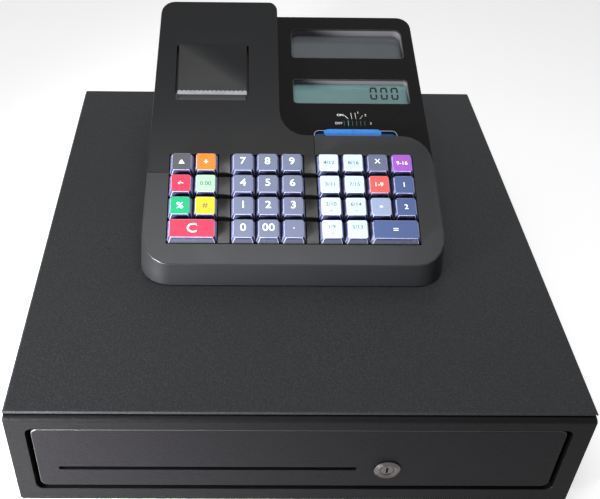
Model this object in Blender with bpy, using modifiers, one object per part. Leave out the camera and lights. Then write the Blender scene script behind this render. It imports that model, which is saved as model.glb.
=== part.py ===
"""Ticket register: an electronic till with a thermal ticket printer, standing on a steel cash drawer.

World frame: metres, +Z up, X to the right, -Y towards the person at the keys. The origin is
under the middle of the drawer cabinet, on the surface that its feet stand on.
"""
import math

import bmesh
import bpy
from mathutils import Matrix, Vector

MM = 0.001
FIT = 0.3 * MM
OVERRUN = 30 * MM
FINE = 24
COARSE = 12
CORNER_STEPS = 5

# Drawer cabinet
CABINET_WIDTH = 410 * MM
CABINET_DEPTH = 420 * MM
CABINET_HEIGHT = 100 * MM
SHEET = 1.2 * MM
FOOT_HEIGHT = 4 * MM
FOOT_RADIUS = 9 * MM
FOOT_INSET = 32 * MM
FRAME_DEPTH = 8 * MM
FRAME_SIDE = 13.8 * MM
FRAME_SILL = 13.5 * MM
FRAME_HEAD = 11.3 * MM
FRAME_CORNER = 6 * MM
FRAME_OUTER_CORNER = 2 * MM
FRAME_SIDE_ROUNDING = 1 * MM
FRAME_HEAD_ROUNDING = 4 * MM
LID_EDGE = 2 * MM
LID_GROOVE = 1.7 * MM
LID_SETBACK = 3 * MM
LID_ROUNDING = 2 * MM
LID_EDGE_ROUNDING = 0.8 * MM
RAIL_WALL_HEIGHT = 60 * MM
RAIL_HEIGHT = 46 * MM
RAIL_START = 12 * MM

# Sliding drawer
PANEL_SIDE_GAP = 3.7 * MM
PANEL_SILL_GAP = 3.5 * MM
PANEL_HEAD_GAP = 1.8 * MM
PANEL_THICKNESS = 4 * MM
PANEL_SETBACK = 0.6 * MM
PANEL_CORNER = 5 * MM
PANEL_ROUNDING = 1 * MM
MEDIA_SLOT_HEIGHT = 4.2 * MM
MEDIA_SLOT_MARGIN = 15.2 * MM
SLOT_LEVEL = 21.5 * MM
LOCK_FROM_RIGHT = 122 * MM
SLOT_TO_LOCK = 21.3 * MM
BODY_SIDE_GAP = 11.2 * MM
BODY_SILL_GAP = 2 * MM
BODY_HEAD_GAP = 5 * MM
BODY_DEPTH = 365 * MM
RUNNER_HEIGHT = 12 * MM
RUNNER_END_GAP = 1.2 * MM
LEDGE_WIDTH = 7 * MM

# Till insert, with coin cups in front and note bays behind
TILL_HEIGHT = 32 * MM
TILL_DEPTH = 345 * MM
TILL_WALL = 2 * MM
TILL_SIDE_GAP = 1.2 * MM
TILL_FRONT_GAP = 2 * MM
TILL_FLOOR_LEVEL = 31 * MM
BAYS = 4
CUP_ROWS = 2
CUP_LENGTH = 68 * MM
CUP_CORNER = 6 * MM
CLIP_LENGTH = 60 * MM
CLIP_WIDTH = 30 * MM
CLIP_THICKNESS = 1.6 * MM
CLIP_PIN_RADIUS = 2 * MM
CLIP_EAR = 2.4 * MM
CLIP_LEVEL = 12 * MM
CLIP_FROM_REAR = 7 * MM
CLIP_DROOP = math.radians(8)

# Lock
LOCK_RADIUS = 9.65 * MM
LOCK_RIM = 2.2 * MM
LOCK_FACE_SHARE = 0.8
LOCK_DISH = 1.2 * MM
BARREL_RADIUS = 6.2 * MM
BARREL_LENGTH = 26 * MM
ROTOR_RADIUS = 4.8 * MM
KEYWAY_WIDTH = 1.4 * MM
KEYWAY_HEIGHT = 6 * MM
KEYWAY_DEPTH = 3 * MM
CAM_LENGTH = 18 * MM
CAM_WIDTH = 7 * MM
CAM_THICKNESS = 2 * MM

# Keyboard
KEY_PITCH = 20.2 * MM
KEY_GAP = 0.8 * MM
KEY_TOP_SIZE = 15.8 * MM
KEY_TOP = 6.5 * MM
KEY_SHOULDER = 1 * MM
KEY_SKIRT = 4.5 * MM
KEY_CORNER = 1.6 * MM
STEM_SIZE = 8 * MM
STEM_LENGTH = 11.5 * MM
KEY_TRAVEL = 3 * MM
BLANK_PITCH = 10.3 * MM
BLANK_TOP = 2.5 * MM
ROWS = 4
GUIDE_THICKNESS = 2 * MM
GUIDE_LEVEL = 8 * MM
OPENING_MARGIN = 0.5 * MM
KEY_RIB = 2 * MM

# Register case
REGISTER_X = 1 * MM
CASE_FRONT = 125 * MM
CASE_WALL = 2.5 * MM
CASE_FRONT_HEIGHT = 22.3 * MM
CASE_SIDE_BORDER = 21.7 * MM
DECK_FRONT_BORDER = 17.7 * MM
DECK_REAR_BORDER = 19.5 * MM
TOWER_DEPTH = 132.2 * MM
TOWER_WIDTH = 114.7 * MM
WEDGE_TILT = math.radians(24.2)
DRAFT_SHARE = 0.064
FRONT_CORNER = 25 * MM
REAR_CORNER = 12 * MM
DECK_CORNER = 24 * MM
TOWER_FILLET = 22 * MM
TOWER_CORNER = 9 * MM
EDGE_ROUNDING = 1 * MM
CASE_LIFT = 1.3 * MM
PAD_RADIUS = 8 * MM
PAD_INSET = 24 * MM
PAN_RIM_HEIGHT = 9 * MM

# Display fascia
FASCIA_TILT = math.radians(20)
FASCIA_STEP = 4.75 * MM
FASCIA_THICKNESS = 3 * MM
WELL_WALL = 1.5 * MM
WINDOW_LEFT_MARGIN = 13.3 * MM
WINDOW_RIGHT_MARGIN = 16.7 * MM
DISPLAY_START = 39.8 * MM
DISPLAY_LENGTH = 26.5 * MM
DISPLAY_DEPTH = 7 * MM
UPPER_START = 91.8 * MM
UPPER_LENGTH = 34.5 * MM
UPPER_DEPTH = 9 * MM
WINDOW_CORNER = 3 * MM
UPPER_CORNER = 6.5 * MM
SCREEN_THICKNESS = 2.5 * MM
MODE_LEFT_MARGIN = 29.8 * MM
MODE_RIGHT_MARGIN = 31.7 * MM
MODE_SLOT_HEIGHT = 8.4 * MM
MODE_SLOT_START = 1.3 * MM
MODE_STOP_LEFT = 0.6 * MM
MODE_STOP_RIGHT = 2.1 * MM
MODE_PADDLE_RISE = 3.2 * MM
MODE_STRIP_LAP = 0.8 * MM
MODE_TRAVEL_LEFT = 6.8 * MM
MODE_TRAVEL_RIGHT = 11.1 * MM
MODE_STRIP_HEIGHT = 10 * MM
MODE_STRIP_THICKNESS = 2 * MM

# Printer cover
COVER_SEAM = 64.7 * MM
COVER_FOOT = 28.4 * MM
SKIRT_FRONT_DROP = 12.2 * MM
COVER_GAP = 0.4 * MM
HINGE_HEIGHT = 96 * MM
HINGE_RADIUS = 2.6 * MM
HINGE_PROUD = 1.2 * MM
KNUCKLE_LENGTH = 55 * MM
KNUCKLE_SIDE_LENGTH = 8 * MM
PRINTER_SHIFT = 1.25 * MM
RECESS_WIDTH = 61.4 * MM
RECESS_START = 35.8 * MM
RECESS_LENGTH = 61.5 * MM
LIP_LENGTH = 7.5 * MM
LIP_DROP = 2.4 * MM
BLADE_SEAT = 2.7 * MM
PAPER_SLOT = 3.2 * MM
RAMP_DEPTH = 6.5 * MM
RECESS_TUB = 9 * MM
SIDE_GROOVE = 1.5 * MM
BLADE_LENGTH = 4.6 * MM
BLADE_THICKNESS = 0.6 * MM
BLADE_TEETH = 16
TOOTH_DEPTH = 1.1 * MM

# Printer
ROLL_RADIUS = 31 * MM
ROLL_BORE = 6 * MM
ROLL_WIDTH = 57 * MM
ROLL_FROM_REAR = 50 * MM
ROLL_HEIGHT = 45 * MM
BUCKET_SIDE_GAP = 1 * MM
BLOCK_WALL = 6.5 * MM
BLOCK_BASE = 0.6 * MM
BUCKET_HEIGHT = 60 * MM
HEAD_HEIGHT = 74 * MM
HEAD_DEPTH = 30 * MM
PLATEN_RADIUS = 6 * MM
PLATEN_SHAFT = 2 * MM
PLATEN_HEIGHT = 68 * MM

# Power inlet
INLET_RADIUS = 5.2 * MM
INLET_LENGTH = 12 * MM
INLET_BORE = 3 * MM
INLET_PIN = 1 * MM
INLET_X = 62 * MM
INLET_HEIGHT = 24 * MM

# Places worked out from the sizes above
CABINET_TOP = FOOT_HEIGHT + CABINET_HEIGHT
FRAME_TOP = CABINET_TOP - LID_EDGE - LID_GROOVE
FRONT = -CABINET_DEPTH / 2
REAR = CABINET_DEPTH / 2
OPENING_HALF = CABINET_WIDTH / 2 - FRAME_SIDE
OPENING_LOW = FOOT_HEIGHT + FRAME_SILL
OPENING_HIGH = FRAME_TOP - FRAME_HEAD
PANEL_HALF = OPENING_HALF - PANEL_SIDE_GAP
PANEL_LOW = OPENING_LOW + PANEL_SILL_GAP
PANEL_HIGH = OPENING_HIGH - PANEL_HEAD_GAP
PANEL_FRONT = FRONT + PANEL_SETBACK
PANEL_BACK = PANEL_FRONT + PANEL_THICKNESS
BODY_HALF = OPENING_HALF - BODY_SIDE_GAP
BODY_LOW = OPENING_LOW + BODY_SILL_GAP
BODY_HIGH = OPENING_HIGH - BODY_HEAD_GAP
BODY_FRONT = PANEL_BACK + FIT
BODY_REAR = BODY_FRONT + BODY_DEPTH
BASE_HALF = CABINET_WIDTH / 2 - SHEET - COVER_GAP
RAIL_HALF = BODY_HALF + COVER_GAP
RAIL_LOW = FOOT_HEIGHT + RAIL_HEIGHT
TILL_LOW = BODY_LOW + TILL_FLOOR_LEVEL
TILL_HIGH = TILL_LOW + TILL_HEIGHT
TILL_HALF = BODY_HALF - SHEET - TILL_SIDE_GAP
TILL_FRONT = BODY_FRONT + SHEET + TILL_FRONT_GAP
TILL_REAR = TILL_FRONT + TILL_DEPTH
BAY_WIDTH = (2 * TILL_HALF - (BAYS + 1) * TILL_WALL) / BAYS
NOTES_FRONT = TILL_FRONT + TILL_WALL + CUP_ROWS * (CUP_LENGTH + TILL_WALL)
SLOT_HEIGHT = PANEL_LOW + SLOT_LEVEL
LOCK_X = PANEL_HALF - LOCK_FROM_RIGHT
CLIP_Y = TILL_REAR - TILL_WALL - CLIP_FROM_REAR
CLIP_Z = TILL_LOW + CLIP_LEVEL

FIELD_WIDTH = 9 * KEY_PITCH + 2 * BLANK_PITCH
FIELD_LENGTH = ROWS * KEY_PITCH
KEYS_HALF = FIELD_WIDTH / 2 + OPENING_MARGIN
KEYS_FRONT = DECK_FRONT_BORDER
KEYS_REAR = KEYS_FRONT + FIELD_LENGTH + 2 * OPENING_MARGIN
DECK_LENGTH = KEYS_REAR + DECK_REAR_BORDER
CASE_HALF = KEYS_HALF + CASE_SIDE_BORDER
CASE_START = FRONT + CASE_FRONT
DECK_Y = CASE_START + DRAFT_SHARE * CASE_FRONT_HEIGHT
RISE = math.tan(WEDGE_TILT)
STEP_Y = DECK_Y + DECK_LENGTH * math.cos(WEDGE_TILT)
STEP_HEIGHT = CASE_FRONT_HEIGHT + DECK_LENGTH * math.sin(WEDGE_TILT)
TOP_Y = STEP_Y + TOWER_DEPTH
TOP_HEIGHT = CASE_FRONT_HEIGHT + (TOP_Y - DECK_Y) * RISE
CASE_END = TOP_Y + DRAFT_SHARE * TOP_HEIGHT
TOWER_SIDE = TOWER_WIDTH - CASE_HALF
PRINTER_X = CASE_HALF - TOWER_WIDTH / 2 + PRINTER_SHIFT
SEAM_Y = DECK_Y + (KEYS_FRONT + COVER_SEAM) * math.cos(WEDGE_TILT)
SEAM_HEIGHT = CASE_FRONT_HEIGHT + (SEAM_Y - DECK_Y) * RISE - SKIRT_FRONT_DROP
HINGE_Y = CASE_END - DRAFT_SHARE * HINGE_HEIGHT + HINGE_PROUD
SKIRT_TILT = math.atan((HINGE_HEIGHT - SEAM_HEIGHT) / (HINGE_Y - SEAM_Y))
ROLL_Y = TOP_Y - ROLL_FROM_REAR + 2 * HINGE_PROUD
BLOCK_HALF = ROLL_WIDTH / 2 + BUCKET_SIDE_GAP + BLOCK_WALL
BLOCK_FRONT = ROLL_Y - ROLL_RADIUS - HEAD_DEPTH
BLOCK_REAR = ROLL_Y + ROLL_RADIUS + BLOCK_WALL
PLATEN_Y = BLOCK_FRONT + HEAD_DEPTH / 2
PAN_FLOOR = CASE_LIFT + CASE_WALL
SKY = TOP_HEIGHT + OVERRUN
FAR = CABINET_WIDTH + CABINET_DEPTH
WINDOW_LEFT = TOWER_SIDE + WINDOW_LEFT_MARGIN
WINDOW_RIGHT = CASE_HALF - WINDOW_RIGHT_MARGIN
MODE_LEFT = TOWER_SIDE + MODE_LEFT_MARGIN
MODE_RIGHT = CASE_HALF - MODE_RIGHT_MARGIN
PADDLE_LEFT = MODE_LEFT + MODE_TRAVEL_LEFT + MODE_STOP_LEFT
PADDLE_RIGHT = MODE_RIGHT - MODE_TRAVEL_RIGHT - MODE_STOP_RIGHT
PADDLE_X = (PADDLE_LEFT + PADDLE_RIGHT) / 2

parts = None
cutters = None


def clear_scene():
    for item in list(bpy.data.objects):
        bpy.data.objects.remove(item, do_unlink=True)


def new_collection(name):
    made = bpy.data.collections.new(name)
    bpy.context.scene.collection.children.link(made)
    return made


def linear(channel):
    share = channel / 255
    return share / 12.92 if share <= 0.04045 else ((share + 0.055) / 1.055) ** 2.4


def material(name, colour, roughness, metallic=0.0):
    found = bpy.data.materials.get(name)
    if found:
        return found
    made = bpy.data.materials.new(name)
    made.use_nodes = True
    shader = made.node_tree.nodes["Principled BSDF"]
    shader.inputs["Base Color"].default_value = (*[linear(c) for c in colour], 1.0)
    shader.inputs["Roughness"].default_value = roughness
    shader.inputs["Metallic"].default_value = metallic
    return made


def black_steel():
    return material("black_steel", (48, 49, 51), 0.55)


def bare_steel():
    return material("bare_steel", (150, 152, 155), 0.4, 0.9)


def black_plastic():
    return material("black_plastic", (42, 43, 45), 0.45)


def gloss_black():
    return material("gloss_black", (20, 20, 21), 0.12)


def chrome():
    return material("chrome", (205, 206, 208), 0.15, 1.0)


def till_plastic():
    return material("till_plastic", (34, 35, 37), 0.5)


def slider_blue():
    return material("slider_blue", (52, 128, 222), 0.35)


def screen_grey():
    return material("screen_grey", (72, 74, 77), 0.3)


def screen_green():
    return material("screen_green", (112, 147, 145), 0.25)


def paper_white():
    return material("paper_white", (235, 234, 228), 0.8)


def rubber():
    return material("rubber", (25, 25, 26), 0.8)


def frame(name, parent, location, tilt=0.0):
    """An empty that carries the pieces lying in one sloping plane."""
    empty = bpy.data.objects.new(name, None)
    parts.objects.link(empty)
    empty.parent = parent
    empty.location = location
    empty.rotation_euler = (tilt, 0.0, 0.0)
    return empty


def finish(bm, name, mat, carrier, origin):
    """Turn a bmesh drawn in the carrier's frame into an object whose origin is the given point."""
    bmesh.ops.translate(bm, verts=bm.verts, vec=-Vector(origin))
    bmesh.ops.recalc_face_normals(bm, faces=bm.faces)
    mesh = bpy.data.meshes.new(name)
    bm.to_mesh(mesh)
    bm.free()
    made = bpy.data.objects.new(name, mesh)
    made.parent = carrier
    made.location = origin
    if mat is None:
        cutters.objects.link(made)
        made.hide_render = True
        made.display_type = "WIRE"
    else:
        parts.objects.link(made)
        mesh.materials.append(mat)
    return made


def add_box(bm, x, y, z):
    size = Vector((x[1] - x[0], y[1] - y[0], z[1] - z[0]))
    centre = Vector((x[0] + x[1], y[0] + y[1], z[0] + z[1])) / 2
    bmesh.ops.create_cube(bm, size=1, matrix=Matrix.Translation(centre) @ Matrix.Diagonal((*size, 1)))


def box(name, x, y, z, mat=None, carrier=None, origin=(0, 0, 0)):
    bm = bmesh.new()
    add_box(bm, x, y, z)
    return finish(bm, name, mat, carrier, origin)


def boxes(name, spans, mat=None, carrier=None, origin=(0, 0, 0)):
    bm = bmesh.new()
    for x, y, z in spans:
        add_box(bm, x, y, z)
    return finish(bm, name, mat, carrier, origin)


def rod(name, centre, radius, span, axis, mat=None, carrier=None, origin=(0, 0, 0), sides=FINE):
    """A cylinder along X, Y or Z between two values of that axis."""
    turn = {"X": Matrix.Rotation(math.pi / 2, 4, "Y"), "Y": Matrix.Rotation(math.pi / 2, 4, "X"),
            "Z": Matrix.Identity(4)}[axis]
    middle = Vector(centre)
    middle["XYZ".index(axis)] = (span[0] + span[1]) / 2
    bm = bmesh.new()
    bmesh.ops.create_cone(bm, cap_ends=True, segments=sides, radius1=radius, radius2=radius,
                          depth=span[1] - span[0], matrix=Matrix.Translation(middle) @ turn)
    return finish(bm, name, mat, carrier, origin)


def arc(centre, radius, start, end, steps=CORNER_STEPS):
    """Points on an arc, its angles in quarter turns."""
    turns = [start + (end - start) * i / steps for i in range(steps + 1)]
    return [(centre[0] + radius * math.cos(t * math.pi / 2), centre[1] + radius * math.sin(t * math.pi / 2))
            for t in turns]


def rounded(x, y, radii, steps=CORNER_STEPS):
    """A rectangle with round corners: radii for front right, rear right, rear left, front left."""
    fr, rr, rl, fl = radii
    points = arc((x[1] - fr, y[0] + fr), fr, -1, 0, steps)
    points += arc((x[1] - rr, y[1] - rr), rr, 0, 1, steps)
    points += arc((x[0] + rl, y[1] - rl), rl, 1, 2, steps)
    points += arc((x[0] + fl, y[0] + fl), fl, 2, 3, steps)
    return points


def loft(name, sections, mat=None, carrier=None, origin=(0, 0, 0), axis="Z"):
    """A solid through outlines with as many points each: sections are (outline, level) pairs."""
    order = {"Z": (0, 1, 2), "X": (2, 0, 1), "Y": (0, 2, 1)}[axis]
    bm = bmesh.new()
    rings = []
    for outline, level in sections:
        spots = [(u, v, level) for u, v in outline]
        rings.append([bm.verts.new([spot[i] for i in order]) for spot in spots])
    bm.faces.new(rings[0])
    bm.faces.new(rings[-1])
    for low, high in zip(rings, rings[1:]):
        for i in range(len(low)):
            j = (i + 1) % len(low)
            bm.faces.new((low[i], low[j], high[j], high[i]))
    return finish(bm, name, mat, carrier, origin)


def prism(name, outline, span, mat=None, carrier=None, origin=(0, 0, 0), axis="Z"):
    return loft(name, [(outline, span[0]), (outline, span[1])], mat, carrier, origin, axis)


def rolled(radius, depth):
    """How far an edge rolled over with a radius stands back at a depth behind its front."""
    if depth >= radius:
        return 0.0
    return radius - math.sqrt(radius ** 2 - (radius - depth) ** 2)


def slab(name, x, z, corner, span, rounding, head_rounding, mat=None, origin=(0, 0, 0), steps=3):
    """An upright plate facing -Y, its outline's corners round, its front edges rolled over."""
    depths = set()
    for radius in (rounding, head_rounding):
        for i in range(steps + 1):
            depths.add(radius * (1 - math.cos(i / steps * math.pi / 2)))
    sections = []
    for depth in sorted(depths):
        side = rolled(rounding, depth)
        head = rolled(head_rounding, depth)
        outline = rounded((x[0] + side, x[1] - side), (z[0] + side, z[1] - head), [corner] * 4)
        sections.append((outline, span[0] + depth))
    sections.append((sections[-1][0], span[1]))
    return loft(name, sections, mat, None, origin, "Y")


def turned(name, profile, mat, carrier, origin, turn, sides=FINE, closed=False):
    """A profile of (radius, height) points swept round the object's own Z axis."""
    mesh = bpy.data.meshes.new(name)
    edges = [(i, i + 1) for i in range(len(profile) - 1)]
    if closed:
        edges.append((len(profile) - 1, 0))
    mesh.from_pydata([(r, 0, z) for r, z in profile], edges, [])
    made = bpy.data.objects.new(name, mesh)
    parts.objects.link(made)
    mesh.materials.append(mat)
    made.parent = carrier
    made.location = origin
    made.rotation_euler = turn
    screw = made.modifiers.new("turn", "SCREW")
    screw.steps = sides
    screw.render_steps = sides
    screw.use_merge_vertices = True
    screw.merge_threshold = 0.00001
    return made


def combine(target, operation, tools):
    for tool in tools:
        step = target.modifiers.new(tool.name, "BOOLEAN")
        step.operation = operation
        step.object = tool
        step.solver = "EXACT"


def cut(target, *tools):
    combine(target, "DIFFERENCE", tools)


def join(target, *tools):
    combine(target, "UNION", tools)


def keep(target, *tools):
    combine(target, "INTERSECT", tools)


def both(half):
    return (-half, half)


# The drawer cabinet
def front_opening(name):
    corners = [FRAME_CORNER] * 4
    outline = rounded(both(OPENING_HALF), (OPENING_LOW, OPENING_HIGH), corners)
    return prism(name, outline, (FRONT - OVERRUN, FRONT + FRAME_DEPTH + OVERRUN), axis="Y")


def cabinet():
    """The welded base: floor, back, front frame and the two channels that the drawer runs in."""
    floor = (FOOT_HEIGHT, FOOT_HEIGHT + SHEET)
    base = box("cabinet", both(BASE_HALF), (FRONT + SHEET, REAR), floor, black_steel())
    front = slab("frame_blank", both(CABINET_WIDTH / 2), (FOOT_HEIGHT, FRAME_TOP), FRAME_OUTER_CORNER,
                 (FRONT, FRONT + FRAME_DEPTH), FRAME_SIDE_ROUNDING, FRAME_HEAD_ROUNDING)
    back = box("back_blank", both(BASE_HALF), (REAR - SHEET, REAR),
               (FOOT_HEIGHT, CABINET_TOP - SHEET - COVER_GAP))
    join(base, front, back)
    for side, name in ((-1, "left"), (1, "right")):
        wall = sorted((side * BASE_HALF, side * (BASE_HALF - SHEET)))
        reach = sorted((side * BASE_HALF, side * RAIL_HALF))
        run = (FRONT + FRAME_DEPTH / 2, REAR - SHEET / 2)
        channel = (FRONT + RAIL_START, REAR - RAIL_START)
        low = (RAIL_LOW - SHEET, RAIL_LOW)
        high = (RAIL_LOW + RUNNER_HEIGHT + 2 * FIT, RAIL_LOW + RUNNER_HEIGHT + 2 * FIT + SHEET)
        join(base, box("rail_wall_" + name, wall, run, (FOOT_HEIGHT, FOOT_HEIGHT + RAIL_WALL_HEIGHT)),
             box("rail_low_" + name, reach, channel, low),
             box("rail_high_" + name, reach, channel, high))
    cut(base, front_opening("cabinet_opening"))
    for x in both(CABINET_WIDTH / 2 - FOOT_INSET):
        for y in both(CABINET_DEPTH / 2 - FOOT_INSET):
            join(base, rod("foot_blank", (x, y, 0), FOOT_RADIUS, (0, FOOT_HEIGHT + SHEET / 2), "Z",
                           sides=COARSE))
    return base


def cabinet_lid():
    """The folded top cover: a flat top with a turned-down front edge and two full side plates."""
    half = CABINET_WIDTH / 2
    span = (FRONT + LID_SETBACK, REAR)
    steps = CORNER_STEPS
    outer = arc((half - LID_ROUNDING, CABINET_TOP - LID_ROUNDING), LID_ROUNDING, 0, 1, steps)
    outer += arc((-half + LID_ROUNDING, CABINET_TOP - LID_ROUNDING), LID_ROUNDING, 1, 2, steps)
    low = FOOT_HEIGHT + COVER_GAP
    inner = [(-half, low), (-half + SHEET, low), (-half + SHEET, CABINET_TOP - SHEET),
             (half - SHEET, CABINET_TOP - SHEET), (half - SHEET, low), (half, low)]
    lid = prism("cabinet_lid", outer + inner, span, black_steel(), axis="Y")
    cut(lid, box("lid_clearance", both(CABINET_WIDTH), (FRONT - OVERRUN, FRONT + FRAME_DEPTH + COVER_GAP),
                 (-OVERRUN, CABINET_TOP - LID_EDGE)))
    join(lid, box("lid_edge", both(half - LID_ROUNDING), (span[0], span[0] + SHEET),
                  (CABINET_TOP - LID_EDGE, CABINET_TOP - SHEET / 2)))
    bend = LID_EDGE_ROUNDING
    corner = [(span[0] - bend, CABINET_TOP + bend), (span[0] - bend, CABINET_TOP - bend)]
    corner += arc((span[0] + bend, CABINET_TOP - bend), bend, 2, 1, 3)
    corner.append((span[0] + bend, CABINET_TOP + bend))
    cut(lid, prism("lid_rounding", corner, both(CABINET_WIDTH), axis="X"))
    return lid


# The sliding drawer
def front_holes(name):
    """The media slot and the lock hole, cut alike through the front panel and the steel behind it."""
    slot = rounded((-PANEL_HALF + MEDIA_SLOT_MARGIN, LOCK_X - SLOT_TO_LOCK),
                   (SLOT_HEIGHT - MEDIA_SLOT_HEIGHT / 2, SLOT_HEIGHT + MEDIA_SLOT_HEIGHT / 2),
                   [MEDIA_SLOT_HEIGHT / 2 - FIT] * 4)
    run = (FRONT - OVERRUN, BODY_FRONT + SHEET + OVERRUN / 2)
    return (prism(name + "_slot", slot, run, axis="Y"),
            rod(name + "_lock_hole", (LOCK_X, 0, SLOT_HEIGHT), BARREL_RADIUS + FIT, run, "Y", sides=COARSE))


def drawer_front():
    panel = slab("drawer_front", both(PANEL_HALF), (PANEL_LOW, PANEL_HIGH), PANEL_CORNER,
                 (PANEL_FRONT, PANEL_BACK), PANEL_ROUNDING, PANEL_ROUNDING, black_steel(),
                 (0, PANEL_FRONT, PANEL_LOW), 2)
    cut(panel, *front_holes("panel"))
    return panel


def drawer_body():
    """The folded steel drawer with a runner on each side and ledges that carry the till insert."""
    body = box("drawer_body", both(BODY_HALF), (BODY_FRONT, BODY_REAR), (BODY_LOW, BODY_HIGH), bare_steel(),
               origin=(0, BODY_FRONT, BODY_LOW))
    cut(body, box("drawer_room", both(BODY_HALF - SHEET), (BODY_FRONT + SHEET, BODY_REAR - SHEET),
                  (BODY_LOW + SHEET, BODY_HIGH + OVERRUN)))
    for side, name in ((-1, "left"), (1, "right")):
        runner = sorted((side * (BODY_HALF - SHEET / 2), side * (OPENING_HALF - RUNNER_END_GAP)))
        ledge = sorted((side * (BODY_HALF - SHEET / 2), side * (BODY_HALF - SHEET - LEDGE_WIDTH)))
        level = (RAIL_LOW + FIT, RAIL_LOW + FIT + RUNNER_HEIGHT)
        run = (FRONT + FRAME_DEPTH + 2 * RAIL_START, BODY_REAR)
        join(body, box("runner_" + name, runner, run, level),
             box("ledge_" + name, ledge, (BODY_FRONT + SHEET / 2, BODY_REAR - SHEET / 2),
                 (TILL_LOW - FIT - SHEET, TILL_LOW - FIT)))
    cut(body, *front_holes("body"))
    return body


def bay_left(bay):
    return -TILL_HALF + TILL_WALL + bay * (BAY_WIDTH + TILL_WALL)


def till_tray():
    """The moulded insert: two rows of coin cups in front, note bays behind, ears for the note clips."""
    tray = box("till_tray", both(TILL_HALF), (TILL_FRONT, TILL_REAR), (TILL_LOW, TILL_HIGH), till_plastic(),
               origin=(0, TILL_FRONT, TILL_LOW))
    floor = (TILL_LOW + TILL_WALL, TILL_HIGH + OVERRUN)
    for bay in range(BAYS):
        left = bay_left(bay)
        spans = [(TILL_FRONT + TILL_WALL + row * (CUP_LENGTH + TILL_WALL)) for row in range(CUP_ROWS)]
        for row, start in enumerate(spans):
            outline = rounded((left, left + BAY_WIDTH), (start, start + CUP_LENGTH), [CUP_CORNER] * 4, 2)
            cut(tray, prism(f"cup_{bay}_{row}", outline, floor))
        cut(tray, box(f"note_room_{bay}", (left, left + BAY_WIDTH), (NOTES_FRONT, TILL_REAR - TILL_WALL),
                      floor))
        centre = left + BAY_WIDTH / 2
        ears = [sorted((centre + side * (CLIP_WIDTH / 2 + FIT), centre + side * (CLIP_WIDTH / 2 + CLIP_EAR)))
                for side in (-1, 1)]
        length = (CLIP_Y - CLIP_EAR - CLIP_PIN_RADIUS, TILL_REAR - TILL_WALL / 2)
        rise = (TILL_LOW + TILL_WALL / 2, CLIP_Z + CLIP_PIN_RADIUS + CLIP_EAR)
        join(tray, boxes(f"clip_ears_{bay}", [(ear, length, rise) for ear in ears]))
        reach = CLIP_WIDTH / 2 + CLIP_EAR + FIT
        cut(tray, rod(f"clip_bore_{bay}", (0, CLIP_Y, CLIP_Z), CLIP_PIN_RADIUS + FIT,
                      (centre - reach, centre + reach), "X", sides=COARSE))
    return tray


def note_clip(bay):
    """A flat arm on a pin, which lies on the notes."""
    centre = bay_left(bay) + BAY_WIDTH / 2
    hinge = (centre, CLIP_Y, CLIP_Z)
    carrier = frame(f"clip_hinge_{bay + 1}", None, hinge, CLIP_DROOP)
    arm = box(f"note_clip_{bay + 1}", both(CLIP_WIDTH / 2), (-CLIP_LENGTH, 0), both(CLIP_THICKNESS / 2),
              chrome(), carrier)
    pin = CLIP_WIDTH / 2 + CLIP_EAR
    join(arm, rod(f"clip_pin_{bay + 1}", (0, 0, 0), CLIP_PIN_RADIUS, both(pin), "X", carrier=carrier,
                  sides=COARSE))
    return arm


def lock_bezel():
    """The lock's chrome rim and barrel; local Z points out of the front panel."""
    bore = ROTOR_RADIUS + FIT
    rim = LOCK_RIM + FIT
    profile = [(bore, rim - LOCK_DISH), (LOCK_RADIUS * LOCK_FACE_SHARE, rim),
               (LOCK_RADIUS, FIT + LOCK_RIM / 3), (LOCK_RADIUS, FIT), (BARREL_RADIUS, FIT),
               (BARREL_RADIUS, -BARREL_LENGTH), (bore, -BARREL_LENGTH)]
    return turned("lock_bezel", profile, chrome(), None, (LOCK_X, PANEL_FRONT, SLOT_HEIGHT),
                  (math.pi / 2, 0, 0), closed=True)


def lock_rotor():
    """The plug that the key turns, with the cam behind it hanging down when locked."""
    origin = (LOCK_X, PANEL_FRONT, SLOT_HEIGHT)
    face = PANEL_FRONT - LOCK_RIM + LOCK_DISH
    end = PANEL_FRONT + BARREL_LENGTH + 2 * FIT
    rotor = rod("lock_rotor", origin, ROTOR_RADIUS, (face, end + CAM_THICKNESS / 2), "Y", chrome(),
                origin=origin)
    across = (LOCK_X - CAM_WIDTH / 2, LOCK_X + CAM_WIDTH / 2)
    join(rotor, box("cam_blank", across, (end, end + CAM_THICKNESS), (SLOT_HEIGHT - CAM_LENGTH, SLOT_HEIGHT)))
    cut(rotor, box("keyway", (LOCK_X - KEYWAY_WIDTH / 2, LOCK_X + KEYWAY_WIDTH / 2),
                   (face - OVERRUN, face + KEYWAY_DEPTH),
                   (SLOT_HEIGHT - KEYWAY_HEIGHT / 2, SLOT_HEIGHT + KEYWAY_HEIGHT / 2)))
    return rotor


# The register's case: outlines in the register's own frame, heights above the cabinet's lid
def case_outline(inset, height):
    half = CASE_HALF - inset - DRAFT_SHARE * height
    ends = (CASE_START + inset + DRAFT_SHARE * height, CASE_END - inset - DRAFT_SHARE * height)
    front = FRONT_CORNER - inset
    rear = REAR_CORNER - inset
    return rounded(both(half), ends, (front, rear, rear, front))


def envelope(name, inset, span, mat=None, origin=(0, 0, 0)):
    sections = [(case_outline(inset, height), height) for height in span]
    return loft(name, sections, mat, register, origin)


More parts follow.
